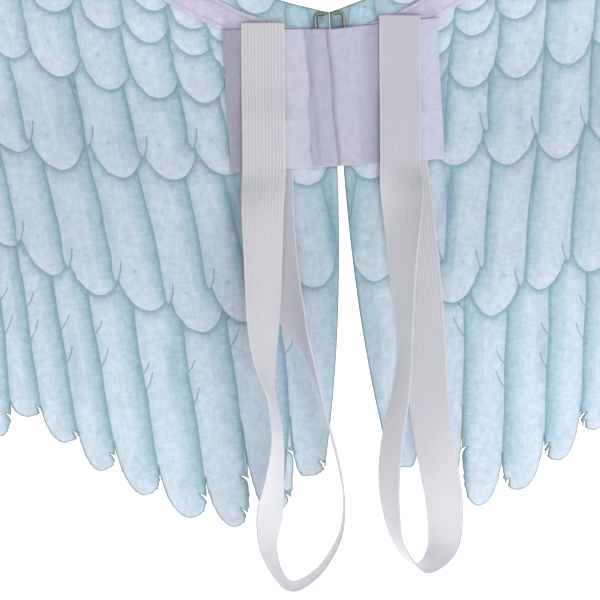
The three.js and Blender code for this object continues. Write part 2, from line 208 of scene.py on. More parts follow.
def feltFuzz():
    # the mottle and short fibres of felt: two masks around 0.5 for colour and a height for bump
    group = bpy.data.node_groups.new("feltFuzz", "ShaderNodeTree")
    group.interface.new_socket("Scale", in_out="INPUT", socket_type="NodeSocketFloat").default_value = 1.0
    for name in ("Mottle", "Fibre", "Height"):
        group.interface.new_socket(name, in_out="OUTPUT", socket_type="NodeSocketFloat")
    start = addNode(group, "NodeGroupInput")
    links = {0: objectPlace(group), "Scale": start.outputs[0]}
    place = addNode(group, "ShaderNodeVectorMath", links, operation="SCALE").outputs[0]
    soft = noise(group, 190, 5, 0.68, place)
    fine = noise(group, 900, 3, 0.65, place)
    lying = noise(group, 560, 3, 0.6, place, (1.0, 1.0, 0.4))
    across = noise(group, 560, 3, 0.6, place, (0.3, 1.0, 1.0))
    fibre = times(group, added(group, lying, across), 0.5)
    height = added(group, times(group, fine, 0.6), fibre)
    finish = addNode(group, "NodeGroupOutput")
    for socket, value in zip(finish.inputs, (soft, fibre, height)):
        group.links.new(value, socket)
    return group


def newMaterial(name, roughness, sheen=0.0, bump=0.0, reach=0.0004):
    # a matt material whose normal comes from a bump node, and its node tree
    material = bpy.data.materials.new(name)
    material.use_nodes = True
    tree = material.node_tree
    shader = tree.nodes["Principled BSDF"]
    shader.inputs["Roughness"].default_value = roughness
    shader.inputs["Specular IOR Level"].default_value = 0.25
    shader.inputs["Sheen Weight"].default_value = sheen
    shader.inputs["Sheen Roughness"].default_value = 0.6
    lift = addNode(tree, "ShaderNodeBump", {"Strength": bump, "Distance": reach})
    tree.links.new(lift.outputs[0], shader.inputs["Normal"])
    return material, tree


def dressed(tree, colour, height):
    # the colour and the bump's height handed to the shader
    tree.links.new(colour, tree.nodes["Principled BSDF"].inputs["Base Color"])
    tree.links.new(height, tree.nodes["Bump"].inputs["Height"])


fuzz = feltFuzz()


def fuzzed(tree, scale=1.0):
    node = addNode(tree, "ShaderNodeGroup", node_tree=fuzz)
    node.inputs["Scale"].default_value = scale
    return node.outputs["Mottle"], node.outputs["Fibre"], node.outputs["Height"]


# The felt wings
print("wings")
felt = dict(
    pale=(196, 209, 221), middle=(180, 201, 213), teal=(142, 176, 189), deep=(102, 144, 157),
    line=(88, 120, 132), tip=(206, 214, 226), rim=(106, 124, 114), patchShade=(92, 146, 168),
    grain=3.1, flat=(0.528, 0.449), area=0.155,
)
# the top edge and the flight feathers as in the solids: shares of the half span, rise and drop
topEdge = [
    (0.0225, 0.017), (0.063, 0.065), (0.152, 0.2), (0.267, 0.455), (0.381, 0.72), (0.495, 0.91),
    (0.61, 1), (0.724, 0.955), (0.819, 0.79), (0.905, 0.53), (0.957, 0.29),
]
# each flight feather's tip and the slit after it, across and down, and its lean in degrees
flight = np.array([
    (0.061, 0.889, 0.072, 0.747, 2), (0.101, 0.976, 0.126, 0.752, -3), (0.139, 1, 0.17, 0.877, -5),
    (0.187, 0.972, 0.221, 0.843, -5), (0.237, 0.911, 0.268, 0.782, -6), (0.284, 0.848, 0.307, 0.75, -6),
    (0.321, 0.777, 0.346, 0.689, -5), (0.359, 0.711, 0.379, 0.672, -3), (0.395, 0.754, 0.405, 0.687, 2),
    (0.424, 0.79, 0.437, 0.655, 6), (0.476, 0.81, 0.487, 0.63, 12), (0.543, 0.79, 0.541, 0.575, 20),
    (0.613, 0.725, 0.6, 0.495, 28), (0.69, 0.622, 0.663, 0.388, 36), (0.766, 0.49, 0.726, 0.263, 44),
    (0.838, 0.33, 0.788, 0.127, 53), (0.905, 0.153, 0.847, -0.019, 63), (0.958, -0.04, 0.898, -0.179, 73),
    (0.994, -0.24, 0.957, -0.365, 84),
])
casingLine = [
    (0.043, 0.162), (0.07, 0.181), (0.089, 0.203), (0.106, 0.223), (0.124, 0.252), (0.148, 0.286),
    (0.175, 0.332), (0.238, 0.44), (0.324, 0.575), (0.429, 0.71), (0.552, 0.8), (0.667, 0.8),
    (0.762, 0.715), (0.838, 0.575),
]
tips = flight[:, :2] * (body["halfSpan"], -body["tipDrop"])
slits = flight[:, 2:4] * (body["halfSpan"], -body["tipDrop"])
leans = np.radians(flight[:, 4])
armLine = throughPoints(np.array(casingLine) * (body["halfSpan"], body["shoulderHeight"]), 8)
innerTip = tips[0, 1]
foldRadius = body["feltThick"] + body["foldGap"] / 2
sheetStart = body["innerGap"] + foldRadius


def bezier(a, b, c, d, steps):
    t = np.linspace(0, 1, steps + 1)[:, None]
    return a * (1 - t) ** 3 + 3 * b * t * (1 - t) ** 2 + 3 * c * t * t * (1 - t) + d * t**3


def featherEnd(before, tip, after, lean, steps=26):
    # the cut edge from one slit round the tip to the next, as two cubic curves
    down = np.array([math.sin(lean), -math.cos(lean)])
    aside = np.array([math.cos(lean), math.sin(lean)])
    first = bezier(before, before + down * 0.78 * ((tip - before) @ down),
                   tip - aside * 0.75 * ((tip - before) @ aside), tip, steps)
    second = bezier(tip, tip - aside * 0.62 * ((tip - after) @ aside),
                    after + down * 0.5 * ((tip - after) @ down), after, steps)
    return np.vstack([first, second[1:]])


def raggedEnd(curve, tip, rng, amount=0.8):
    # the cut end pushed in and out along its normal, most on the inner side between slit and tip,
    # with one or two narrow nicks that curl up into the felt
    way = np.gradient(curve, axis=0)
    way /= np.maximum(np.linalg.norm(way, axis=1, keepdims=True), 1e-9)
    inwards = np.stack([-way[:, 1], way[:, 0]], 1)
    turn = int(np.argmin(np.linalg.norm(curve - tip, axis=1)))
    share = np.clip(np.arange(len(curve)) / max(turn, 1), 0, 2)
    rising = np.sin(np.pi * np.clip(share, 0, 1)) ** 0.6
    falling = 0.45 * np.sin(np.pi * np.maximum(share - 1, 0)) ** 0.6
    rough = np.where(share < 1, rising, falling)
    push = rough * amount * (rng.uniform(-0.35, 1, len(curve)))
    found = curve + inwards * push[:, None]
    spots = sorted((int(turn * rng.uniform(0.2, 0.34)), int(turn * rng.uniform(0.5, 0.72))), reverse=True)
    for spot, keep in zip(spots, (0.45, 0.85)):
        if rng.uniform() > keep or spot < 2:
            continue
        deep, wide = rng.uniform(4.0, 6.5), rng.uniform(1.7, 2.4)
        s = np.linspace(0, 1, 6)[:, None]
        path = found[spot] + inwards[spot] * deep * (s * 0.5 + s**2 * 0.3)
        path = path - way[spot] * deep * (s * 0.7 - s**2 * 0.2)
        beside = way[spot] * 0.75 + inwards[spot] * 0.65
        sides = [path + beside * wide / 2 * (1 - s * 0.8) * k for k in (-1, 1)]
        found = np.vstack([found[:spot], sides[0], sides[1][::-1][1:], found[spot + 1:]])
    return found


def wingOutline(rng):
    # from the fold's top along the top edge, round the tips from the outside in, up the inner edge
    rise = body["shoulderHeight"] - body["notchHeight"]
    top = [(sheetStart, body["notchHeight"])]
    top += [(a * body["halfSpan"], body["notchHeight"] + u * rise) for a, u in topEdge]
    outline = [throughPoints(top, 10)]
    z = np.linspace(panelBottom, innerTip * 0.96, 22)
    inner = np.stack([body["innerGap"] + body["innerSpread"] * (z / innerTip) ** 2.4, z], 1)
    slits[-1] = outline[0][-1]
    for i in range(len(tips) - 1, -1, -1):
        before = slits[i - 1] if i else inner[-1]
        end = featherEnd(before, tips[i], slits[i], leans[i])
        outline.append(raggedEnd(end, tips[i], rng)[::-1][1:])
    outline.append(inner[::-1][1:])
    outline.append(np.array([(sheetStart, panelBottom)]))
    return np.vstack(outline)


def insideOf(points, polygon):
    # even-odd rule: how many edges lie to the right of each point
    a, b = polygon, np.roll(polygon, -1, axis=0)
    found = np.zeros(len(points), bool)
    near = np.all((points > polygon.min(0)) & (points < polygon.max(0)), axis=1)
    p = points[near]
    above = (a[None, :, 1] > p[:, None, 1]) != (b[None, :, 1] > p[:, None, 1])
    rise = np.where(b[:, 1] == a[:, 1], 1e-9, b[:, 1] - a[:, 1])
    crossing = a[:, 0] + (p[:, None, 1] - a[:, 1]) * (b[:, 0] - a[:, 0]) / rise
    found[near] = (above & (p[:, None, 0] < crossing)).sum(1) % 2 == 1
    return found


def distanceTo(points, line, most=14.0, closed=True):
    # distance of each point to a polyline, no more than most
    a = line if closed else line[:-1]
    b = np.roll(line, -1, axis=0) if closed else line[1:]
    found = np.full(len(points), most)
    near = np.all((points > line.min(0) - most) & (points < line.max(0) + most), axis=1)
    p = points[near][:, None, :]
    along = b - a
    share = np.clip(((p - a) * along).sum(2) / np.maximum((along**2).sum(1), 1e-12), 0, 1)
    gap = np.linalg.norm(p - a - share[..., None] * along, axis=2)
    found[near] = np.minimum(gap.min(1), most)
    return found


# The rows of covert feathers, from the longest up to the small ones on the top edge. left and right
# are each wing's tips in view, onward the line on which the row goes on, pitch its step, lean the
# tip's turn in degrees at the inner end and past bend, half the half width and cap the rounded end
rows = [
    dict(left=[(17.9, -110.8), (37.1, -125), (59.8, -128.4), (83.9, -133.1), (113.1, -118.6), (141.2, -108), (167.7, -94.8), (190.7, -76.2)],
         right=[(15.7, -109.9), (38, -120), (62.3, -126.3), (86.7, -136.1), (117.4, -123), (150.4, -114.9), (180, -101), (206, -82)],
         onward=[(222, -74), (262, -88), (306, -78), (347, -46), (384, -8), (413, 38), (433, 84), (446, 128), (452, 160)],
         pitch=29, lean=(-9, 100), bend=(180, 455), half=15.6, cap=29, length=135, outerHook=22),
    dict(left=[(18.2, -51.1), (41, -47), (63.9, -42.5), (93.6, -43.5), (123.9, -40.5), (157.3, -33.9), (182.3, -21.9)],
         right=[(16.5, -49.8), (42, -47), (68.1, -45.5), (100.6, -47.3), (133, -45.8), (167, -38), (194, -25)],
         onward=[(215, -10), (258, -2), (302, 6), (342, 22), (374, 50), (398, 84), (414, 122), (420, 152), (424, 180)],
         pitch=29, lean=(-9, 100), bend=(170, 425), half=15.8, cap=26, length=125, outerHook=21),
    dict(left=[(22, 3), (48, 0), (73.8, -0.3), (99.3, 4.1), (127.3, 10.7), (154.6, 19.9), (181.8, 32.1)],
         right=[(22, 3), (51, 0), (80.2, -0.5), (109.1, 3.2), (141.8, 9.3), (168, 20), (196, 33)],
         onward=[(216, 48), (256, 64), (300, 74), (338, 86), (366, 108), (384, 140), (392, 190)],
         pitch=28, lean=(-7, 100), bend=(150, 395), half=15, cap=25, length=80, outerHook=0),
    dict(left=[(54, 16), (77.5, 27.2), (102.7, 35.9), (126, 45.5), (156, 57)],
         right=[(57, 18), (84, 29.4), (110.4, 38), (138, 48), (168, 58)],
         onward=[(187, 74), (222, 96), (262, 112), (305, 121), (338, 130), (358, 152), (364, 195)],
         pitch=26, lean=(-4, 90), bend=(140, 365), half=14, cap=18, length=60, outerHook=0),
    dict(left=[(58, 33), (78.2, 42.4), (100.3, 54), (126, 69)],
         right=[(61, 33), (83, 44), (109, 55), (136, 69)],
         onward=[(165, 97), (205, 121), (250, 141), (300, 151), (332, 158), (348, 180), (350, 205)],
         pitch=24, lean=(0, 80), bend=(130, 345), half=13, cap=15, length=50, outerHook=0),
    dict(left=[(40, 34), (62, 47), (86, 62)],
         right=[(42, 34), (66, 48), (92, 63)],
         onward=[(120, 86), (155, 110), (200, 138), (245, 160), (290, 172), (325, 180), (345, 200)],
         pitch=22, lean=(4, 60), bend=(120, 340), half=12, cap=12, length=44, outerHook=0),
    dict(left=[(44, 49), (68, 62)],
         right=[(46, 50), (72, 64)],
         onward=[(100, 83), (135, 105), (175, 131), (220, 158), (265, 177), (310, 188), (350, 192), (400, 186)],
         pitch=20, lean=(8, 60), bend=(100, 380), half=11, cap=11, length=40, outerHook=0),
]


def rowTips(row, side):
    # the tips that the view shows, then points at even steps on the curve that goes on from them
    seen = np.array(row["right" if side > 0 else "left"], float)
    curve = throughPoints([seen[-2], seen[-1], *row["onward"]], 12)[12:]
    reach = np.linalg.norm(np.diff(curve, axis=0), axis=1).sum()
    return np.vstack([seen, evenly(curve, int(round(reach / row["pitch"])) + 1)[1:]])


def covertFeathers(row, side, stretch, rng):
    # each covert: an elliptic cap at its tip, sides that narrow slowly and a slightly bent axis;
    # on the outer side some step out at a split, which is drawn as a short slash
    low, high = row["lean"]
    found = []
    for tip in rowTips(row, side):
        lean = low + (high - low) * float(eased(tip[0], *row["bend"]))
        lean = math.radians(lean + rng.uniform(-1.5, 1.5))
        half = row["half"] * stretch * rng.uniform(0.97, 1.04)
        cap = row["cap"] * rng.uniform(0.92, 1.08)
        bend = math.radians(4 if tip[0] < 200 else 9) / row["length"] / 2
        around = np.linspace(0, np.pi / 2, 11)
        up = np.r_[cap * (1 - np.cos(around)), np.linspace(cap, row["length"], 13)[1:]]
        wide = half * np.r_[np.sin(around) ** rng.uniform(0.94, 1.12), 1 - 0.1 * np.linspace(0, 1, 13)[1:]]
        beyond = wide > half * 0.3
        wobble = 0.3 * np.sin(up * rng.uniform(0.5, 0.9) + rng.uniform(0, 6))
        wobble = wobble + rng.uniform(-0.25, 0.25, len(up))
        outer = wide + wobble * beyond
        inner = wide + 0.3 * np.sin(up * 0.6 + rng.uniform(0, 6)) * beyond
        slashes = []
        hook = row["outerHook"]
        if hook:
            hook *= rng.uniform(0.9, 1.15)
            edge = np.interp(hook, up, outer)
            step = up > hook
            outer = outer + np.where(step, 2.2 * np.exp(-(up - hook) / 16), -0.5)
            k = int(np.argmax(step))
            inner = np.insert(inner, k, np.interp([hook, hook - 1.6], up, inner))
            up = np.insert(up, k, [hook, hook - 1.6])
            outer = np.insert(outer, k, [edge - 0.6, edge + 1.5])
            slashes.append(np.array([(edge - 0.6, hook), (edge - 2.6, hook + 4), (edge - 3.8, hook + 9)]))
        axisUp = np.array([-math.sin(lean), math.cos(lean)])
        aside = np.array([math.cos(lean), math.sin(lean)])

        def place(a, b):
            return tip + np.outer(a + bend * b * b, aside) + np.outer(b, axisUp)

        order = np.argsort(up)
        shape = np.vstack([place(outer, up), place(-inner[order], up[order])[::-1][:-1]])
        found.append(dict(
            shape=shape, tip=tip, aside=aside, up=axisUp, half=half, bend=bend,
            slashes=[place(s[:, 0], s[:, 1]) for s in slashes],
            spot=place(np.array([half * 0.33]), np.array([row["cap"] * 0.85]))[0] if row["cap"] > 20 else None,
        ))
    return found[::-1]


def flightFeathersOf(rng):
    # each flight feather: between two lines that run from the arm to the slits beside it; the
    # inner one lies on top, so its outer line shows, with two slashes up from it
    rootX = np.interp(slits[:, 0], [38, 116, 213, 284, 348, 414, 471, 505], [56, 138, 232, 277, 304, 327, 346, 352])
    rootZ = np.interp(rootX, armLine[:, 0], armLine[:, 1]) - 8
    lines = []
    for i, slit in enumerate(slits):
        lean = (leans[i] + leans[min(i + 1, len(leans) - 1)]) / 2
        root = np.array([rootX[i], rootZ[i]])
        reach = np.linalg.norm(root - slit)
        pull = slit + np.array([-math.sin(lean), math.cos(lean)]) * reach * 0.5
        line = bezier(root, root + (pull - root) * 0.67, slit + (pull - slit) * 0.67, slit, 60)
        sway = np.sin(np.linspace(0, reach / 9, 61) + rng.uniform(0, 6))
        sway = sway + 0.3 * np.sin(np.linspace(0, reach / 3, 61))
        sway *= np.linspace(1.1, 0.2, 61)
        lines.append(line + sway[:, None] * (math.cos(lean), math.sin(lean)))
    innerLine = np.array([(-6, 60), (-6, panelBottom), (-2, innerTip * 0.7), (6, innerTip - 10)])
    found = []
    for i, tip in enumerate(tips):
        down = np.array([math.sin(leans[i]), -math.cos(leans[i])])
        aside = np.array([math.cos(leans[i]), math.sin(leans[i])])
        inside = lines[i - 1] if i else innerLine
        past = [slits[i] + down * 2 + aside * 0.2, tip + down * 8 + aside * 12, tip + down * 8 - aside * 12]
        shape = np.vstack([lines[i], past, (inside - aside * 3)[::-1]])
        slashes = []
        for back, lean, size in ((rng.uniform(37, 45), 22, 11.8), (rng.uniform(54, 63), 30, 9)):
            spots = np.linalg.norm(lines[i] - slits[i], axis=1)
            foot = lines[i][int(np.argmin(np.abs(spots - back)))]
            turn = leans[i] + math.radians(5 + lean + rng.uniform(-3, 3))
            way = np.array([-math.sin(turn), math.cos(turn)])
            size *= rng.uniform(0.85, 1.1)
            slashes.append(np.array([foot + way * 0.3, foot + way * size * 0.5 - aside * 0.6, foot + way * size]))
        found.append(dict(shape=shape, tip=tip, aside=aside, up=-down, outerLine=lines[i], innerLine=inside,
                          slashes=slashes, spot=None))
    return found[::-1]


def wingSheet(outline, feathers, grain):
    # the flat sheet cut into triangles along every feather's edge: a constrained Delaunay net over
    # the cut outline, the feathers' outlines, the slashes and a hexagonal grid of the given grain
    places, edges = [], []

    def addLine(line, closed):
        first = len(places)
        places.extend(map(tuple, line))
        edges.extend((first + k, first + k + 1) for k in range(len(line) - 1))
        if closed:
            edges.append((first + len(line) - 1, first))

    addLine(outline, True)
    for feather in feathers:
        addLine(feather["shape"], True)
        for slash in feather["slashes"]:
            addLine(slash, False)
        if feather["spot"] is not None:
            ring = np.linspace(0, 2 * np.pi, 7)[:-1]
            addLine(feather["spot"] + 1.1 * np.stack([np.cos(ring), np.sin(ring)], 1), True)
            places.append(tuple(feather["spot"]))
    low, high = outline.min(0), outline.max(0)
    x, z = np.meshgrid(np.arange(low[0], high[0], grain), np.arange(low[1], high[1], grain * 0.866))
    x[1::2] += grain / 2
    grid = np.stack([x.ravel(), z.ravel()], 1)
    grid = grid[insideOf(grid, outline)]
    places.extend(map(tuple, grid))
    flat = delaunay_2d_cdt([Vector(p) for p in places], edges, [], 0, 1e-4, False)
    points = np.array([tuple(p) for p in flat[0]])
    faces = np.array(flat[2])
    centres = points[faces].mean(1)
    a, b, c = (points[faces[:, k]] for k in range(3))
    area = (b[:, 0] - a[:, 0]) * (c[:, 1] - a[:, 1]) - (b[:, 1] - a[:, 1]) * (c[:, 0] - a[:, 0])
    faces = np.where((area < 0)[:, None], faces[:, ::-1], faces)
    keep = insideOf(centres, outline) & (np.abs(area) > 1e-5)
    faces = faces[keep]
    used = np.unique(faces)
    renumber = np.full(len(points), -1)
    renumber[used] = np.arange(len(used))
    return points[used], renumber[faces], centres[keep]


# teal patches of painted shade on each wing, by the panel's edge, along the inner edge and in a few
# other places: x, z, half width, half height and strength
shadePatches = {
    1: [(65, -61, 4.5, 17, 0.7), (64, -4, 3, 28, 0.7), (1.5, -70, 5, 46, 0.6), (4.5, -120, 4, 34, 0.45),
        (65, -95, 3.5, 14, 0.4), (111, -21, 4, 14, 0.3), (118, -50, 3, 12, 0.35), (117, -158, 3, 20, 0.35)],
    -1: [(62, -54, 5, 20, 0.7), (7, -69, 2.6, 46, 0.6), (8.4, -119, 2.4, 34, 0.4), (61, -93, 4, 14, 0.4),
         (126, -24, 4, 12, 0.3), (104, -152, 3.5, 16, 0.35), (160, -150, 3, 22, 0.3)],
}


def printValues(points, faces, centres, outline, feathers, side):
    # for each face corner: where it lies on its feather, and how far it is from the feather's own
    # edge, from the nearest one lying over it, from the cut edge, a slash and the quill spot; and
    # how much painted shade the teal patches lay on it, a sum of soft ellipses
    far = 14.0
    count = len(feathers)
    top = np.full(len(centres), -1)
    edge = np.full((len(points), count + 1), far, np.float32)
    slash = np.full((len(points), count), far, np.float32)
    spot = np.full((len(points), count), far, np.float32)
    across = np.zeros((len(points), count), np.float32)
    along = np.zeros((len(points), count), np.float32)
    for k, feather in enumerate(feathers):
        top[insideOf(centres, feather["shape"])] = k
        edge[:, k] = distanceTo(points, feather["shape"], far)
        local = points - feather["tip"]
        along[:, k] = local @ feather["up"]
        if "outerLine" in feather:
            outer = distanceTo(points, feather["outerLine"], 60.0, False)
            inner = distanceTo(points, feather["innerLine"], 60.0, False)
            across[:, k] = (outer - inner) / np.maximum(outer + inner, 1e-6)
        else:
            bent = feather["bend"] * along[:, k] ** 2
            across[:, k] = -(local @ feather["aside"] - bent) / feather["half"]
        for line in feather["slashes"]:
            slash[:, k] = np.minimum(slash[:, k], distanceTo(points, line, far, False))
        if feather["spot"] is not None:
            spot[:, k] = np.minimum(np.linalg.norm(points - feather["spot"], axis=1), far)
    cover = np.minimum.accumulate(edge[:, ::-1], axis=1)[:, ::-1]
    top = np.maximum(top, 0)
    corner, owner = faces.ravel(), np.repeat(top, 3)
    border = distanceTo(points, outline, far)
    seeds = np.random.default_rng(5).uniform(0, 1, count)
    # painted shade from the teal patches, each a soft ellipse
    patchShade = sum(
        strength * np.exp(-((points[:, 0] - x) / wide) ** 2 - ((points[:, 1] - z) / tall) ** 2)
        for x, z, wide, tall, strength in shadePatches[side])
    return dict(
        feather=np.stack([across[corner, owner], along[corner, owner] / storedLength], 1),
        own=edge[corner, owner], cover=cover[corner, owner + 1], border=border[corner],
        slash=slash[corner, owner], spot=spot[corner, owner], tone=seeds[owner],
        patchShade=patchShade[corner],
    )


def wingPoint(x, z, level):
    # a point of the right wing's sheet, level being its height above the felt's middle
    return np.stack([x, feltDepth(x, z) - level, z], -1)


def thickSheet(points, faces, values, outline):
    # both faces of the felt and a softly rounded cut edge between them
    directed = np.vstack([faces[:, [0, 1]], faces[:, [1, 2]], faces[:, [2, 0]]])
    edges = np.sort(directed, axis=1)
    _, first, uses = np.unique(edges, axis=0, return_index=True, return_counts=True)
    rim = directed[first[uses == 1]]
    onRim = np.unique(rim)
    place = np.full(len(points), -1)
    place[onRim] = np.arange(len(onRim))
    way = points[rim[:, 1]] - points[rim[:, 0]]
    way /= np.maximum(np.linalg.norm(way, axis=1, keepdims=True), 1e-9)
    outwards = np.stack([way[:, 1], -way[:, 0]], 1)
    push = np.zeros((len(onRim), 2))
    np.add.at(push, place[rim[:, 0]], outwards)
    np.add.at(push, place[rim[:, 1]], outwards)
    push /= np.maximum(np.linalg.norm(push, axis=1, keepdims=True), 1e-9)
    edgeDistance = distanceTo(points, outline, 3.0)
    soft = 0.22 * np.exp(-edgeDistance / 0.5)
    level = wingFace - soft + 0.05 * ripple(points[:, 0], points[:, 1], 3, 26)
    middle = points[onRim] + push * 0.18
    front = wingPoint(points[:, 0], points[:, 1], level)
    back = wingPoint(points[:, 0], points[:, 1], -level)
    bulge = wingPoint(middle[:, 0], middle[:, 1], 0 * middle[:, 0])
    count = len(points)
    mid = 2 * count + place
    a, b = rim[:, 0], rim[:, 1]
    sides = [np.stack(s, 1) for s in (
        (b, a, mid[a]), (b, mid[a], mid[b]),
        (mid[b], mid[a], a + count), (mid[b], a + count, b + count),
    )]
    allFaces = np.vstack([faces, faces[:, ::-1] + count, *sides])
    rimCount = 4 * len(rim)
    corners = {}
    flip = np.arange(len(faces) * 3).reshape(-1, 3)[:, ::-1].ravel()
    for key, value in values.items():
        filler = np.zeros((rimCount * 3,) + value.shape[1:])
        corners[key] = np.concatenate([value, value[flip], filler])
    corners["rim"] = np.r_[np.zeros(len(faces) * 6), np.ones(rimCount * 3)]
    return np.vstack([front, back, bulge]), allFaces, corners


def leant(points, lean):
    # near the notch the felt leans by this much across the centre line, fading out and down
    share = eased(points[:, 2], -25, 38) * (1 - eased(points[:, 0], 13, 60))
    return points + np.stack([lean * share, 0 * share, 0 * share], 1)


def hemFold():
    # the felt folded back beside the centre line: a strip that turns round the fold and runs back
    # as a flap, its section carried up Z; the flap's outer top corner is round
    turn = np.linspace(0, np.pi, 13)
    radius = foldRadius - wingFace
    flap = np.linspace(0, body["innerGap"] + body["hemWidth"] - sheetStart, 12)[1:]
    x = np.r_[sheetStart - radius * np.sin(turn), sheetStart + flap]
    level = np.r_[radius * (1 - np.cos(turn)), np.full(11, 2 * radius)]
    outX = np.r_[-np.sin(turn), np.zeros(11)]
    outLevel = np.r_[-np.cos(turn), np.ones(11)]
    top = np.full(len(x), float(body["notchHeight"]))
    corner = body["hemCorner"]
    past = np.clip(x - (x[-1] - corner), 0, corner) * (np.arange(len(x)) > 13)
    top -= corner - np.sqrt(np.maximum(corner**2 - past**2, 0))
    share = np.linspace(0, 1, 40)[:, None]
    z = panelBottom + (top - panelBottom) * share
    shape = z.shape
    half = wingFace - 0.02
    sides = []
    for side in (1, -1):
        px = np.broadcast_to(x + side * half * outX, shape)
        pl = np.broadcast_to(level + side * half * outLevel, shape)
        sides.append(np.stack([px, px * sweepSlope - pl, z], -1).reshape(-1, 3))
    end = np.where(np.arange(len(x)) > 12, x[-1] - x, 20.0)
    gap = np.minimum(np.broadcast_to(end, shape), np.where(np.arange(len(x)) > 12, top - z, 20.0))
    # turn: how far the felt faces sideways round the fold, for painted shade there
    turned = np.broadcast_to(np.r_[np.sin(turn), np.zeros(11)], shape)
    marks = dict(gap=np.tile(gap.ravel(), 2), turn=np.tile(turned.ravel(), 2))
    return np.vstack(sides), closedGrid(shape[0], shape[1]), marks


def closedGrid(rowsOf, columns):
    # quads of two grids of points, the first one outside, joined round their edges
    k = np.arange(rowsOf * columns).reshape(rowsOf, columns)
    a, b, c, d = k[:-1, :-1].ravel(), k[:-1, 1:].ravel(), k[1:, 1:].ravel(), k[1:, :-1].ravel()
    layer = rowsOf * columns
    faces = [np.stack([a, b, c, d], 1), np.stack([d, c, b, a], 1) + layer]
    ring = np.r_[k[0, :], k[1:, -1], k[-1, -2::-1], k[-2:0:-1, 0]]
    after = np.roll(ring, -1)
    faces.append(np.stack([after, ring, ring + layer, after + layer], 1))
    return np.vstack(faces)


def mirrored(points, faces, corners):
    # the left wing's copy of the right one: x turned round, each face's corners in reverse
    size = faces.shape[1]
    flip = np.arange(faces.size).reshape(-1, size)[:, ::-1].ravel()
    return points * (-1, 1, 1), faces[:, ::-1], {k: v[flip] for k, v in corners.items()}


def printedFelt():
    # the printed feathers: pale middles with a paler quill, teal on the side that the next feather
    # overlaps, thin dark edges with a printed soft shadow under them, slashes, spots and teal patches of
    # painted shade, all broken up by the felt's own mottle; and painted light, brighter low down
    material, tree = newMaterial("printedFelt", 0.92, 0.25, 0.35, 0.0006)
    place = named(tree, "feather")
    across, along = parts(tree, place)[:2]
    own, cover, border, slash, spot, tone, rim, patchShade = marked(
        tree, "own", "cover", "border", "slash", "spot", "tone", "rim", "patchShade")
    mottle, fibre, height = fuzzed(tree)
    shifted = addNode(tree, "ShaderNodeVectorMath", {0: place, 1: tone}, operation="ADD").outputs[0]
    streak = noise(tree, 1.0, 3, 0.6, shifted, (4.5, 2.2, 1.0))
    blotch = times(tree, added(tree, noise(tree, 55, 3, 0.6), -0.5), 0.5)
    uneven = added(tree, blotch, times(tree, added(tree, streak, -0.5), 1.1))
    side = added(tree, across, uneven)
    strength = between(tree, tone, 0.0, 1.0, 0.26, 0.54)
    quill = maths(tree, "ABSOLUTE", added(tree, across, 0.05))
    ridge = times(tree, between(tree, quill, 0.14, 0.0), between(tree, streak, 0.4, 0.62, 0.05, 0.6))
    atTip = between(tree, times(tree, along, storedLength), 24, 2)
    rough = times(tree, added(tree, fibre, -0.5), 4.2)
    shadow = added(tree, added(tree, cover, times(tree, uneven, 5)), rough)
    edge = times(tree, between(tree, own, 0.6, 0.2), added(tree, times(tree, atTip, 0.32), 0.15))
    line = maths(tree, "MAXIMUM", edge, between(tree, cover, 0.75, 0.25, high=0.34))
    line = times(tree, line, between(tree, fibre, 0.42, 0.58, 0.2, 1.15))
    line = maths(tree, "MAXIMUM", line, between(tree, slash, 0.65, 0.15, high=0.6))
    line = maths(tree, "MAXIMUM", line, between(tree, spot, 1.9, 0.4, high=0.3))
    colour = painted(
        tree, felt["pale"], (between(tree, side, -0.2, 0.3), felt["middle"]),
        (times(tree, between(tree, side, 0.3, 0.95), strength), felt["teal"]),
        # teal patches of painted shade
        (times(tree, patchShade, between(tree, streak, 0.35, 0.6, 0.5, 1.0)), felt["patchShade"]),
        (between(tree, side, -0.6, -1.05, high=0.28), felt["teal"]), (ridge, felt["tip"]),
        (times(tree, atTip, 0.55), felt["tip"]),
        (between(tree, shadow, 9.5, 0, high=0.46), felt["teal"]),
        (between(tree, added(tree, cover, rough), 3.8, 0.1, high=0.5), felt["deep"]),
        (line, felt["line"]), (between(tree, border, 2.2, 0.2, high=0.25), felt["teal"]),
        (between(tree, border, 0.85, 0.3, high=0.6), felt["rim"]), (rim, felt["rim"]))
    grain = between(tree, added(tree, mottle, times(tree, tone, 0.06)), 0.3, 0.75, 0.91, 1.05)
    # painted light: brighter low down, darkest from 30 mm below the origin up to its height, and paler again above 40
    # mm; the felt's own mottle and fibres are multiplied in with it
    up = parts(tree, objectPlace(tree))[2]
    for value, spread in (
            (fibre, (0.34, 0.66, 0.92, 1.06)), (up, (-0.22, -0.03, 1.06, 0.86)),
            (up, (0.0, 0.04, 1.0, 1.12))):
        grain = times(tree, grain, between(tree, value, *spread))
    grainAndLight = addNode(tree, "ShaderNodeCombineColor", {0: grain, 1: grain, 2: grain}).outputs[0]
    dressed(tree, blended(tree, 1.0, colour, grainAndLight, "MULTIPLY"), height)
    return material


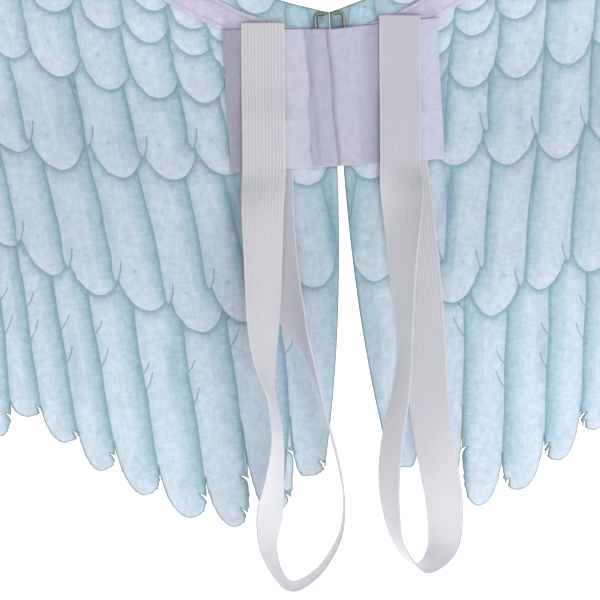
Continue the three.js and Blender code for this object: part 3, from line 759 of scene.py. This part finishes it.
feltPrint = printedFelt()
for side, stretch, seed, lean in ((1, 1.065, 11, -2.9), (-1, 1.0, 12, -0.05)):
    name = "wing_right" if side > 0 else "wing_left"
    rng = np.random.default_rng(seed)
    outline = wingOutline(np.random.default_rng(seed + 20))
    feathers = flightFeathersOf(rng)
    for row in rows:
        feathers += covertFeathers(row, side, stretch, rng)
    points, faces, centres = wingSheet(outline, feathers, felt["grain"])
    values = printValues(points, faces, centres, outline, feathers, side)
    points, faces, corners = thickSheet(points, faces, values, outline)
    points = leant(points, lean)
    if side < 0:
        points, faces, corners = mirrored(points, faces, corners)
    piece = makePiece(name + "_felt", points, faces, feltPrint, corners)
    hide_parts(name)
    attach(piece, "root")
    after = np.roll(outline, -1, axis=0)
    area = (outline[:, 0] * after[:, 1] - outline[:, 1] * after[:, 0]).sum() / 2
    print("wings:", name, len(feathers), "feathers,", len(faces), "triangles,", round(abs(area)), "square mm")


def perCorner(faces, values):
    # values given for each point, as values for each face corner
    return {key: value[faces.ravel()] for key, value in values.items()}


def edgeSteps(low, high, count, fine=(0.0, 0.12, 0.4, 0.9)):
    # even steps from low to high, with finer ones beside both ends for a rounded edge
    fine = np.array(fine)
    return np.r_[low + fine, np.linspace(low + 1.6, high - 1.6, count), (high - fine)[::-1]]


def roundedEdge(gap, reach):
    # the share of the full thickness at a distance from the edge: a quarter ellipse
    share = np.clip(gap / reach, 0, 1)
    return 0.35 + 0.65 * np.sqrt(1 - (1 - share) ** 2)


# The wings' inner edges, folded back towards the wearer
print("hems")
hem = dict(
    pale=(150, 170, 176), face=(86, 114, 122), fold=(84, 112, 119), cut=(150, 156, 146),
    dark=(66, 78, 76), band=1.5,
)


def foldedFelt():
    # the felt's other side: teal grey with a mottle, with painted shade where it turns round the fold,
    # olive and dark along its cut edge
    material, tree = newMaterial("foldedFelt", 0.93, 0.2, 0.4, 0.0006)
    mottle, fibre, height = fuzzed(tree)
    gap, turn = marked(tree, "gap", "turn")
    uneven = added(tree, gap, times(tree, added(tree, fibre, -0.5), 1.6))
    band = hem["band"]
    colour = painted(
        tree, hem["face"], (between(tree, mottle, 0.3, 0.7), hem["pale"]),
        # painted shade round the fold
        (times(tree, turn, 0.7), hem["fold"]),
        (between(tree, uneven, band + 1.1, band + 0.4), hem["dark"]),
        (between(tree, uneven, band, band - 0.4), hem["cut"]),
        (between(tree, uneven, 0.5, 0.2, high=0.8), hem["dark"]))
    dressed(tree, colour, height)
    return material


hemFelt = foldedFelt()
for side, lean in ((1, -2.9), (-1, -0.05)):
    points, faces, marks = hemFold()
    points = leant(points, lean)
    corners = perCorner(faces, marks)
    if side < 0:
        points, faces, corners = mirrored(points, faces, corners)
    piece = makePiece("hem_right" if side > 0 else "hem_left", points, faces, hemFelt, corners)
    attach(piece, "root")


# The back panel, drawn down between the hems and over the straps' tucked ends
print("back panel")
# shade is the colour of the painted shade and painted shadows on the panel
panel = dict(
    columns=150, rows=100, groove=(-3.6, -1.6), grooveWide=2.6, crease=-16.4, creaseDip=0.7, ridge=0.9,
    slack=0.16, pale=(191, 191, 204), lilac=(181, 179, 196), blue=(178, 183, 200), shade=(118, 117, 134),
)


def panelTop(x):
    # the top edge, which dips towards the middle
    share = np.minimum(np.abs(x) / (body["panelWidth"] / 2), 1)
    return body["panelHeight"] / 2 - body["panelTopDip"] * (1 - share) ** 1.2


def strapX(side, z):
    # where the middle of a strap's front end lies across the panel
    return side * body["strapOffset"] + body["strapDrift"] * (z - body["panelHeight"] / 2) / body["panelHeight"]


def panelFaces():
    # how far the panel stands off the felt: raised over the hems and the tucked straps, with the
    # groove between the hems, a wavy crease beside them and slack where no strap lies on it
    half = body["panelWidth"] / 2
    x = edgeSteps(-half, half, panel["columns"])
    share = edgeSteps(0, body["panelHeight"], panel["rows"]) / body["panelHeight"]
    x, share = np.broadcast_arrays(x[None, :], share[:, None])
    z = panelBottom + share * (panelTop(x) - panelBottom)
    x = x + 0.12 * np.sin(z / 2.3) * np.sin(z / 6.1) * (np.abs(x) / half) ** 8
    z = z + 0.1 * np.sin(x / 2.7 + 1) * np.sin(x / 7.3) * (np.abs(2 * share - 1)) ** 8
    out = np.abs(x)
    hemEnd = body["innerGap"] + body["hemWidth"] + body["clearance"]
    overHem = 1 - eased(out, hemEnd, hemEnd + 4)
    groove = panel["groove"][1] + share * (panel["groove"][0] - panel["groove"][1]) + 0.35 * np.sin(z / 7)
    dip = np.exp(-(((x - groove) / panel["grooveWide"]) ** 2) * 2.2)
    tuckHalf = body["strapWidth"] / 2 + body["clearance"]
    overTuck = 1 - eased(np.abs(out - body["strapOffset"]), tuckHalf, tuckHalf + 4)
    aboveTuck = 1 - eased(z, tuckTop + body["clearance"], tuckTop + body["clearance"] + 8)
    lift = np.maximum(hemRise * overHem, tuckRise * overTuck * aboveTuck) - 0.8 * dip
    crease = panel["crease"] + 0.9 * np.sin(z / 11 + 0.5) + 0.4 * np.sin(z / 4.3)
    free = np.ones(x.shape)
    for side in (1, -1):
        free = free * eased(np.abs(x - strapX(side, z)), body["strapWidth"] / 2, body["strapWidth"] / 2 + 3)
    slack = 1 + np.clip(ripple(x, z * 0.6, 21, 26), -1, 1) + 0.5 * ripple(x * 1.6, z, 22, 9)
    lift = lift + free * panel["slack"] * slack
    lift = lift + panel["ridge"] * np.exp(-(((x - crease - 2.1) / 1.5) ** 2)) * (0.7 + 0.3 * np.sin(z / 9))
    lift = lift - panel["creaseDip"] * np.exp(-(((x - crease) / 0.75) ** 2)) * eased(lift, 0.1, 0.6)
    pit = (x - 6.7) ** 2 + (z - 20.4) ** 2
    lift = lift - 0.25 * np.exp(-pit / 1.1)
    edge = np.minimum(half - out, np.minimum(z - panelBottom, panelTop(x) - z))
    thick = body["panelThick"] / 2 * roundedEdge(np.maximum(edge, 0), 0.8)
    layers = [np.stack([x, out * sweepSlope - panelLevel - lift - s * thick, z], -1).reshape(-1, 3) for s in (1, -1)]
    marks = panelMarks(x, z, groove, crease, edge, free)
    return np.vstack(layers), closedGrid(*x.shape), {key: np.tile(value.ravel(), 2) for key, value in marks.items()}


def panelMarks(x, z, groove, crease, edge, free):
    # painted shade on the panel: a painted shadow beside each strap on its left, at its left end, between
    # the crease and the groove and right of the groove, and deeper painted shade in the groove, along the
    # crease and in the dimple; and how far a point is from the panel's cut edge
    shade = np.zeros(x.shape)
    # painted shadow of the right strap on its left side
    beside = strapX(1, z) - body["strapWidth"] / 2 - x
    shade = np.maximum(shade, 0.6 * (1 - eased(beside, -2, 19)) * (beside > -3))
    # painted shadow at the left end, left of the left strap
    shade = np.maximum(shade, 0.6 * (1 - eased(x, -54.5, -51)))
    # painted shade between the crease and the groove, and weaker right of the groove
    shade = np.maximum(shade, 0.26 * eased(x, crease, crease + 2) * (1 - eased(x, groove, groove + 5)))
    shade = np.maximum(shade, 0.14 * eased(x, groove, groove + 1) * (1 - eased(x, 30, 50)))
    # painted shade in the groove, along the crease and in the dimple
    grooves = 0.7 * np.exp(-np.abs(x - groove) / 0.5)
    creases = 0.6 * np.exp(-np.abs(x - crease - 0.5) / 0.5) * (0.55 + 0.45 * eased(z, -44, 10))
    pit = 0.3 * np.exp(-((x - 6.7) ** 2 + (z - 20.4) ** 2) / 0.5)
    return dict(shade=shade, fold=np.maximum(np.maximum(grooves, creases), pit), edge=edge)


def panelFelt():
    # lilac felt that wanders to blue and pale, with painted shade where the marks say, paler at its cut edge
    material, tree = newMaterial("panelFelt", 0.95, 0.25, 0.5, 0.0007)
    mottle, fibre, height = fuzzed(tree)
    shade, fold, edge = marked(tree, "shade", "fold", "edge")
    colour = painted(
        tree, panel["lilac"], (between(tree, noise(tree, 34, 3, 0.5), 0.42, 0.62), panel["blue"]),
        (between(tree, mottle, 0.35, 0.7), panel["pale"]),
        (between(tree, fibre, 0.45, 0.7, high=0.3), panel["pale"]),
        # painted shade and painted shadows from the marks
        (added(tree, shade, fold, True), panel["shade"]),
        (between(tree, edge, 0.6, 0.1, high=0.55), panel["pale"]))
    dressed(tree, colour, height)
    return material


points, faces, marks = panelFaces()
panelPiece = makePiece("back_panel_felt", points, faces, panelFelt(), perCorner(faces, marks))
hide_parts("back_panel")
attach(panelPiece, "root")


# The cloth strips along the wings' arms
print("casings")
# shade is the colour of the painted shade and painted shadow on the strips
casing = dict(
    stations=260, columns=26, margin=2.6, pale=(204, 198, 219), lilac=(186, 178, 203), blue=(180, 183, 206),
    shade=(148, 140, 164), flat=(0.015, 0.465),
)


def casingFaces():
    # a strip of even width carried along the arm line; it begins where it comes out from under the
    # panel's top edge, its middle is domed over a soft core and its margins lie flat
    line = evenly(armLine, casing["stations"])
    way = np.gradient(line, axis=0)
    way /= np.linalg.norm(way, axis=1, keepdims=True)
    aside = np.stack([-way[:, 1], way[:, 0]], 1)
    tries = np.linspace(-0.5, 0.5, 401)
    x = line[:, :1] + aside[:, :1] * tries * body["casingWidth"]
    z = line[:, 1:] + aside[:, 1:] * tries * body["casingWidth"]
    covered = (x < body["panelWidth"] / 2 + 0.3) & (z < panelTop(x) + 0.3)
    start = np.where(covered.any(1), tries[400 - np.argmax(covered[:, ::-1], axis=1)], -0.5)
    shown = start < 0.47
    line, aside, start = line[shown], aside[shown], start[shown]
    steps = edgeSteps(0, 20, casing["columns"], (0.0, 0.15, 0.6)) / 20
    share = start[:, None] + (0.5 - start[:, None]) * steps
    x = line[:, :1] + aside[:, :1] * share * body["casingWidth"]
    z = line[:, 1:] + aside[:, 1:] * share * body["casingWidth"]
    half = body["casingWidth"] / 2
    gap = (0.5 - np.abs(share)) * body["casingWidth"]
    core = np.sqrt(np.clip(1 - ((share * body["casingWidth"]) / (half - casing["margin"])) ** 2, 0, 1))
    begin = body["panelWidth"] / 2
    dome = body["casingDome"] * core * eased(line[:, :1], begin, begin + 2 * body["casingWidth"])
    along = np.r_[0, np.cumsum(np.linalg.norm(np.diff(line, axis=0), axis=1))][:, None]
    pucker = 0.1 * np.sin(along / 2.1 + 3 * np.sin(along / 17)) * np.exp(-np.abs(gap - casing["margin"]) / 1.2)
    end = np.minimum(np.minimum(gap, 20), (share - start[:, None]) * body["casingWidth"] + 0.1)
    skin = body["casingThick"] * roundedEdge(end, 0.5)
    front = wingFace + body["clearance"] + skin + dome + pucker
    back = np.full(x.shape, wingFace + body["clearance"])
    layers = [wingPoint(x, z, level).reshape(-1, 3) for level in (front, back)]
    # painted shadow where the strip comes out from under the panel's top edge
    shadowUnderPanel = np.exp(-np.maximum(z - np.maximum(panelTop(x), 43.7) * (x < begin) - 200 * (x >= begin), 0) / 2.5)
    marks = dict(gap=gap, shadowUnderPanel=np.where(x < begin, shadowUnderPanel, 0))
    faces = closedGrid(*x.shape)[:, ::-1]
    return np.vstack(layers), faces, {key: np.tile(value.ravel(), 2) for key, value in marks.items()}


def casingCloth():
    # lilac cloth of pressed fibres, pinker and bluer in patches, with painted shade along the core's foot
    # and a painted shadow where it comes out from under the panel
    material, tree = newMaterial("casingCloth", 0.9, 0.3, 0.35, 0.0005)
    mottle, _, height = fuzzed(tree, 1.2)
    gap, shadowUnderPanel = marked(tree, "gap", "shadowUnderPanel")
    foot = maths(tree, "ABSOLUTE", added(tree, gap, -casing["margin"]))
    colour = painted(
        tree, casing["lilac"], (between(tree, noise(tree, 40, 2, 0.5), 0.4, 0.64), casing["blue"]),
        (between(tree, mottle, 0.4, 0.75), casing["pale"]),
        # painted shade along the core's foot
        (between(tree, foot, 1.3, 0.1, high=0.35), casing["shade"]),
        (between(tree, gap, 0.5, 0.1, high=0.4), casing["pale"]),
        # painted shadow from under the panel
        (times(tree, shadowUnderPanel, 0.5), casing["shade"]))
    dressed(tree, colour, height)
    return material


stripCloth = casingCloth()
for side in (1, -1):
    points, faces, marks = casingFaces()
    corners = perCorner(faces, marks)
    if side < 0:
        points, faces, corners = mirrored(points, faces, corners)
    name = "casing_right" if side > 0 else "casing_left"
    piece = makePiece(name + "_cloth", points, faces, stripCloth, corners)
    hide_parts(name)
    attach(piece, "root")


# The elastic arm loops
print("straps")
# of these colours, valley, rim and the one for shaded parts are painted shade, and the near white is painted light
strap = dict(
    thread=0.8, ribs=13, ribDepth=0.16, perRow=11, perRib=6, frontRows=3,
    crown=(192, 191, 197), valley=(178, 177, 184), strapShade=(170, 168, 180), edge=(212, 211, 217), rim=(150, 150, 157),
    paintedLightColour=(250, 250, 253),
)
# each loop: its length in metres, its hang, the turns of its ends, how strong the painted shade
# between the ribs is and how much painted shade it has in front and behind, how much painted light
# at which heights, and rows down one side and up the other: side as a share of the strap's offset,
# down as a share of the hang, out as a share of the loop's reach, and the turn of its width in degrees
leftLoop = dict(length=0.617, hang=239, turns=(98, -82), ribShade=(1, 0.25, 0.15), strapShade=(0, 0.6),
    paintedLight=([-45, -75, -118, -200, -235, -290], [0, 0.08, 0.13, 0.55, 0.52, 0.6], [0, 0, 0.1, 0.5, 0.5, 0.6]), rows=[
    (1.18, 0.089, 0.3, 82), (1.22, 0.179, 0.42, 71), (1.26, 0.27, 0.6, 63), (1.31, 0.36, 0.78, 53),
    (1.33, 0.452, 0.87, 36), (1.27, 0.543, 0.9, 16), (1.23, 0.635, 0.95, 22), (1.3, 0.727, 1.01, 32),
    (1.4, 0.818, 1.1, 44), (1.44, 0.91, 1.04, 26), (1.2, 0.995, 0.94, 10), (0.78, 0.974, 0.75, 8),
    (0.42, 0.896, 0.56, 8), (0.31, 0.809, 0.47, 8), (0.35, 0.716, 0.41, 8), (0.45, 0.626, 0.31, 7),
    (0.55, 0.536, 0.16, 4), (0.67, 0.446, 0.06, -5), (0.84, 0.366, 0.02, -31), (0.97, 0.276, 0.02, -53),
    (1.02, 0.185, 0.02, -69), (1.02, 0.092, 0.01, -78),
])
rightLoop = dict(length=0.6, hang=236, turns=(-98, -98), ribShade=(0.75, 0.15, 0.8), strapShade=(0.4, 0),
    paintedLight=([-45, -60, -130, -222, -262], [0, 0.2, 0.45, 0.42, 0.34], [0, 0, 0.13, 0.47, 0.9]), rows=[
    (0.85, 0.09, 0.16, -66), (0.8, 0.18, 0.3, -40), (0.75, 0.272, 0.44, -27), (0.73, 0.367, 0.53, -15),
    (0.7, 0.461, 0.59, -9), (0.61, 0.555, 0.65, -12), (0.47, 0.646, 0.66, -18), (0.37, 0.74, 0.63, -19),
    (0.35, 0.834, 0.62, -15), (0.44, 0.929, 0.64, -7), (0.74, 0.996, 0.74, -8), (1.08, 0.945, 0.95, -33),
    (1.15, 0.846, 0.98, -47), (1.11, 0.752, 0.84, -54), (1.07, 0.658, 0.58, -54), (1.06, 0.566, 0.32, -59),
    (1.07, 0.473, 0.15, -68), (1.08, 0.379, 0.05, -76), (1.07, 0.285, 0.02, -82), (1.05, 0.19, 0.01, -88),
    (1.03, 0.095, 0.01, -94),
])


def carried(values, station, overshoot):
    # a cubic between the rows' values; its slope at a row is the mean of the steps beside it, or,
    # where it may not overshoot, their harmonic mean
    values = np.asarray(values, float)
    step = np.diff(values)
    before, after = np.r_[0, step], np.r_[step, 0]
    if overshoot:
        slope = (before + after) / 2
    else:
        both = np.where(before + after == 0, 1, before + after)
        slope = np.where(before * after > 0, 2 * before * after / both, 0)
    i = np.minimum(station.astype(int), len(values) - 2)
    t = station - i
    ends = values[i] * (2 * t**3 - 3 * t**2 + 1) + values[i + 1] * (3 * t**2 - 2 * t**3)
    return ends + slope[i] * (t**3 - 2 * t**2 + t) + slope[i + 1] * (t**3 - t**2)


def loopRows(side, loop):
    # the strap's middle from the top of its front end, round the loop, to its tucked back end
    high = body["panelHeight"] / 2
    top, ramp = high + body["strapTopRise"], tuckTop + 25
    rowsFound = []
    for i, z in enumerate((top, (top + ramp) / 2, ramp, tuckTop, panelBottom)):
        level = strapLevel if i < strap["frontRows"] else strapLevel + tuckRise
        rowsFound.append((strapX(side, z), z, level, loop["turns"][0]))
    for aside, down, out, turn in loop["rows"]:
        overFelt = abs(math.cos(math.radians(turn + side * body["sweepAngle"]))) * body["strapWidth"] / 2
        level = wingFace + body["clearance"] + body["strapThick"] / 2 + overFelt + out * body["loopReach"]
        rowsFound.append((side * aside * body["strapOffset"], panelBottom - down * loop["hang"], level, turn))
    for z in (panelBottom, tuckTop):
        rowsFound.append((side * body["strapOffset"], z, tuckLevel, loop["turns"][1]))
    return np.array(rowsFound)


def strapFaces(side, loop):
    # the ribbed section carried along the loop, its width turned as each row says: half thickness
    # by the share across, thinner between the ribs and rounded at both edges
    found = loopRows(side, loop)
    last = len(found) - 1
    station = np.linspace(0, last, last * strap["perRow"] + 1)

    def middle(at):
        at = np.clip(at, 0, last)
        x, z = carried(found[:, 0], at, True), carried(found[:, 1], at, True)
        return np.stack([x, np.abs(x) * sweepSlope - carried(found[:, 2], at, False), z], 1)

    centre = middle(station)
    forward = middle(station + 0.05) - middle(station - 0.05)
    forward /= np.linalg.norm(forward, axis=1, keepdims=True)
    turn = np.radians(carried(found[:, 3], station, False))
    width = np.stack([np.sin(turn), np.cos(turn), 0 * turn], 1)
    width -= forward * (width * forward).sum(1, keepdims=True)
    width /= np.linalg.norm(width, axis=1, keepdims=True)
    outwards = np.cross(forward, width)
    share = np.r_[0, 0.004, 0.01, np.linspace(0, 1, strap["ribs"] * strap["perRib"] + 1)[1:-1], 0.99, 0.996, 1]
    share = np.unique(np.round(share, 5))
    along = np.r_[0, np.cumsum(np.linalg.norm(np.diff(centre, axis=0), axis=1))]
    valley = (0.5 + 0.5 * np.cos(2 * np.pi * strap["ribs"] * share)) ** 2
    half = body["strapThick"] / 2 * roundedEdge(np.minimum(share, 1 - share) * body["strapWidth"], 0.55)
    half = half * (1 - strap["ribDepth"] * valley)
    wave = 0.12 * np.sin(along / 1.3 + side) * np.sin(along / 7.7)
    across = (share[None, :] - 0.5) * (body["strapWidth"] + wave[:, None])
    fray = 0.22 * np.sin(share * 61) + 0.15 * np.sin(share * 143 + 1)
    ends = np.zeros((len(station), len(share)))
    ends[0], ends[-1] = -fray, fray
    base = centre[:, None, :] + width[:, None, :] * across[..., None] + forward[:, None, :] * ends[..., None]
    layers = [base + outwards[:, None, :] * half[None, :, None] * s for s in (1, -1)]
    place = np.stack(np.broadcast_arrays(share[None, :], along[:, None] / storedLength), -1).reshape(-1, 2)
    faces = closedGrid(len(station), len(share))
    bottom = along[np.argmin(centre[:, 2])]
    front = 1 - eased(along, bottom - 25, bottom + 25)
    # painted shade between the ribs, high and low in front and on the back
    top, low, back = loop["ribShade"]
    ribShade = back + (top + (low - top) * eased(along, 80, 190) - back) * front
    # painted light: whiter at the given heights, in front and behind
    heights, lightFront, lightBack = (np.array(values)[::-1] for values in loop["paintedLight"])
    paintedLight = np.interp(centre[:, 2], heights, lightFront) * front
    paintedLight += np.interp(centre[:, 2], heights, lightBack) * (1 - front)
    # painted shade at the top of the front end and on the back
    strapShade = loop["strapShade"][0] * (1 - eased(along, 60, 150)) + loop["strapShade"][1] * (1 - front)
    print("straps: length", round(along[-1]), "mm")
    marks = dict(elastic=np.tile(place, (2, 1)))
    for key, values in (("ribShade", ribShade), ("paintedLight", paintedLight), ("strapShade", strapShade)):
        marks[key] = np.tile(np.repeat(values, len(share)), 2)
    return np.vstack([p.reshape(-1, 3) for p in layers]), faces[:, ::-1], marks


def ribbedElastic():
    # pale elastic: painted shade between the ribs and where the marks say, paler at its edges,
    # painted light where the marks say with a painted grey shade line along its edges there,
    # and fine cross threads
    material, tree = newMaterial("ribbedElastic", 0.62, 0.15, 0.35, 0.0003)
    share, along = parts(tree, named(tree, "elastic"))[:2]
    ribShade, paintedLight, strapShade = marked(tree, "ribShade", "paintedLight", "strapShade")
    ribs = maths(tree, "COSINE", times(tree, share, 2 * math.pi * strap["ribs"]))
    wander = noise(tree, 30, 2, 0.5, None, (1.0, 1.0, 0.2))
    # painted shade between the ribs
    valley = times(tree, between(tree, ribs, -0.1, 0.95), between(tree, wander, 0.3, 0.6, 0.55, 1.0))
    side = maths(tree, "ABSOLUTE", added(tree, share, -0.5))
    colour = painted(
        tree, strap["crown"], (times(tree, valley, ribShade), strap["valley"]),
        # painted shade where the marks say
        (strapShade, strap["strapShade"]), (between(tree, side, 0.478, 0.495), strap["edge"]),
        # painted light
        (paintedLight, strap["paintedLightColour"]),
        # a painted grey shade line along the edges where the painted light is
        (times(tree, between(tree, side, 0.485, 0.499), paintedLight), strap["rim"]))
    turns = times(tree, along, storedLength * 2 * math.pi / strap["thread"])
    threads = times(tree, maths(tree, "SINE", turns), 0.35)
    dressed(tree, colour, added(tree, threads, noise(tree, 1500, 2, 0.6)))
    return material


elastic = ribbedElastic()
for side, loop in ((1, rightLoop), (-1, leftLoop)):
    name = "strap_right" if side > 0 else "strap_left"
    points, faces, marks = strapFaces(side, loop)
    piece = makePiece(name + "_elastic", points, faces, elastic, perCorner(faces, marks))
    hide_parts(name)
    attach(piece, "root")


# The floor, the light and the camera
print("stage")
stage = dict(floor=-620, wall=7500, reach=7500, turn=1500)


def sweptFloor():
    # a pale floor that turns up into a wall behind, its section carried along X
    turn = np.linspace(0, np.pi / 2, 17)
    y = np.r_[-stage["reach"], stage["wall"] - stage["turn"] * (1 - np.sin(turn)), stage["wall"]]
    z = np.r_[stage["floor"], stage["floor"] + stage["turn"] * (1 - np.cos(turn)), stage["reach"]]
    x = np.array([-stage["reach"], stage["reach"]])
    points = np.stack([np.repeat(x, len(y)), np.tile(y, 2), np.tile(z, 2)], 1)
    k = np.arange(len(y) - 1)
    return points, np.stack([k, k + len(y), k + len(y) + 1, k + 1], 1)


paper = bpy.data.materials.new("paleFloor")
paper.use_nodes = True
paperShader = paper.node_tree.nodes["Principled BSDF"]
paperShader.inputs["Base Color"].default_value = (0.5, 0.5, 0.5, 1)
paperShader.inputs["Roughness"].default_value = 0.9
paperShader.inputs["Emission Color"].default_value = (1, 1, 1, 1)
paperShader.inputs["Emission Strength"].default_value = 1.0
floor = makePiece("floor", *sweptFloor(), paper)


def softLight(name, place, aim, size, power, tint=(1, 1, 1)):
    lamp = bpy.data.lights.new(name, "AREA")
    lamp.shape = "DISK"
    lamp.size = size
    lamp.energy = power
    lamp.color = tint
    holder = bpy.data.objects.new(name, lamp)
    holder.location = Vector(place)
    holder.rotation_euler = (Vector(aim) - Vector(place)).to_track_quat("-Z", "Y").to_euler()
    bpy.context.collection.objects.link(holder)
    return holder


bpy.context.scene.view_settings.view_transform = "Standard"
softLight("frontLight", (0.4, -2.6, 0.4), (0, 0, -0.05), 2.4, 16)
softLight("keyLight", (1.9, -2.1, 0.8), (0, 0, -0.05), 1.5, 14)
softLight("fillLight", (-2.1, -1.6, -0.2), (0, 0, -0.15), 1.2, 3.5)
softLight("lowLight", (0.1, -1.3, -0.55), (0, 0, -0.25), 0.9, 4)
softLight("backLight", (0.0, 1.1, 0.9), (0, 0, 0.0), 1.4, 10)
world = bpy.data.worlds.new("studio")
world.use_nodes = True
world.node_tree.nodes["Background"].inputs[0].default_value = (0.93, 0.96, 1.0, 1)
world.node_tree.nodes["Background"].inputs[1].default_value = 0.29
bpy.context.scene.world = world

view = dict(place=(-182.0, -1185.6, -4.7), yaw=-7.384, pitch=5.375, roll=-3.497, lens=124.1)


def photoCamera():
    # looks along a direction given by its yaw and pitch, then rolls round it
    yaw, pitch, roll = (math.radians(view[k]) for k in ("yaw", "pitch", "roll"))
    back = Vector((math.sin(yaw) * math.cos(pitch), -math.cos(yaw) * math.cos(pitch), math.sin(pitch)))
    right = Vector((math.cos(yaw), math.sin(yaw), 0))
    up = back.cross(right)
    rightTurned = right * math.cos(roll) + up * math.sin(roll)
    upTurned = up * math.cos(roll) - right * math.sin(roll)
    camera = bpy.data.objects.new("camera", bpy.data.cameras.new("camera"))
    camera.data.lens = view["lens"]
    camera.data.sensor_width = 36
    turned = Matrix((rightTurned, upTurned, back)).transposed().to_4x4()
    camera.matrix_world = Matrix.Translation(Vector(view["place"]) * mm) @ turned
    bpy.context.collection.objects.link(camera)
    return camera


bpy.context.scene.camera = photoCamera()
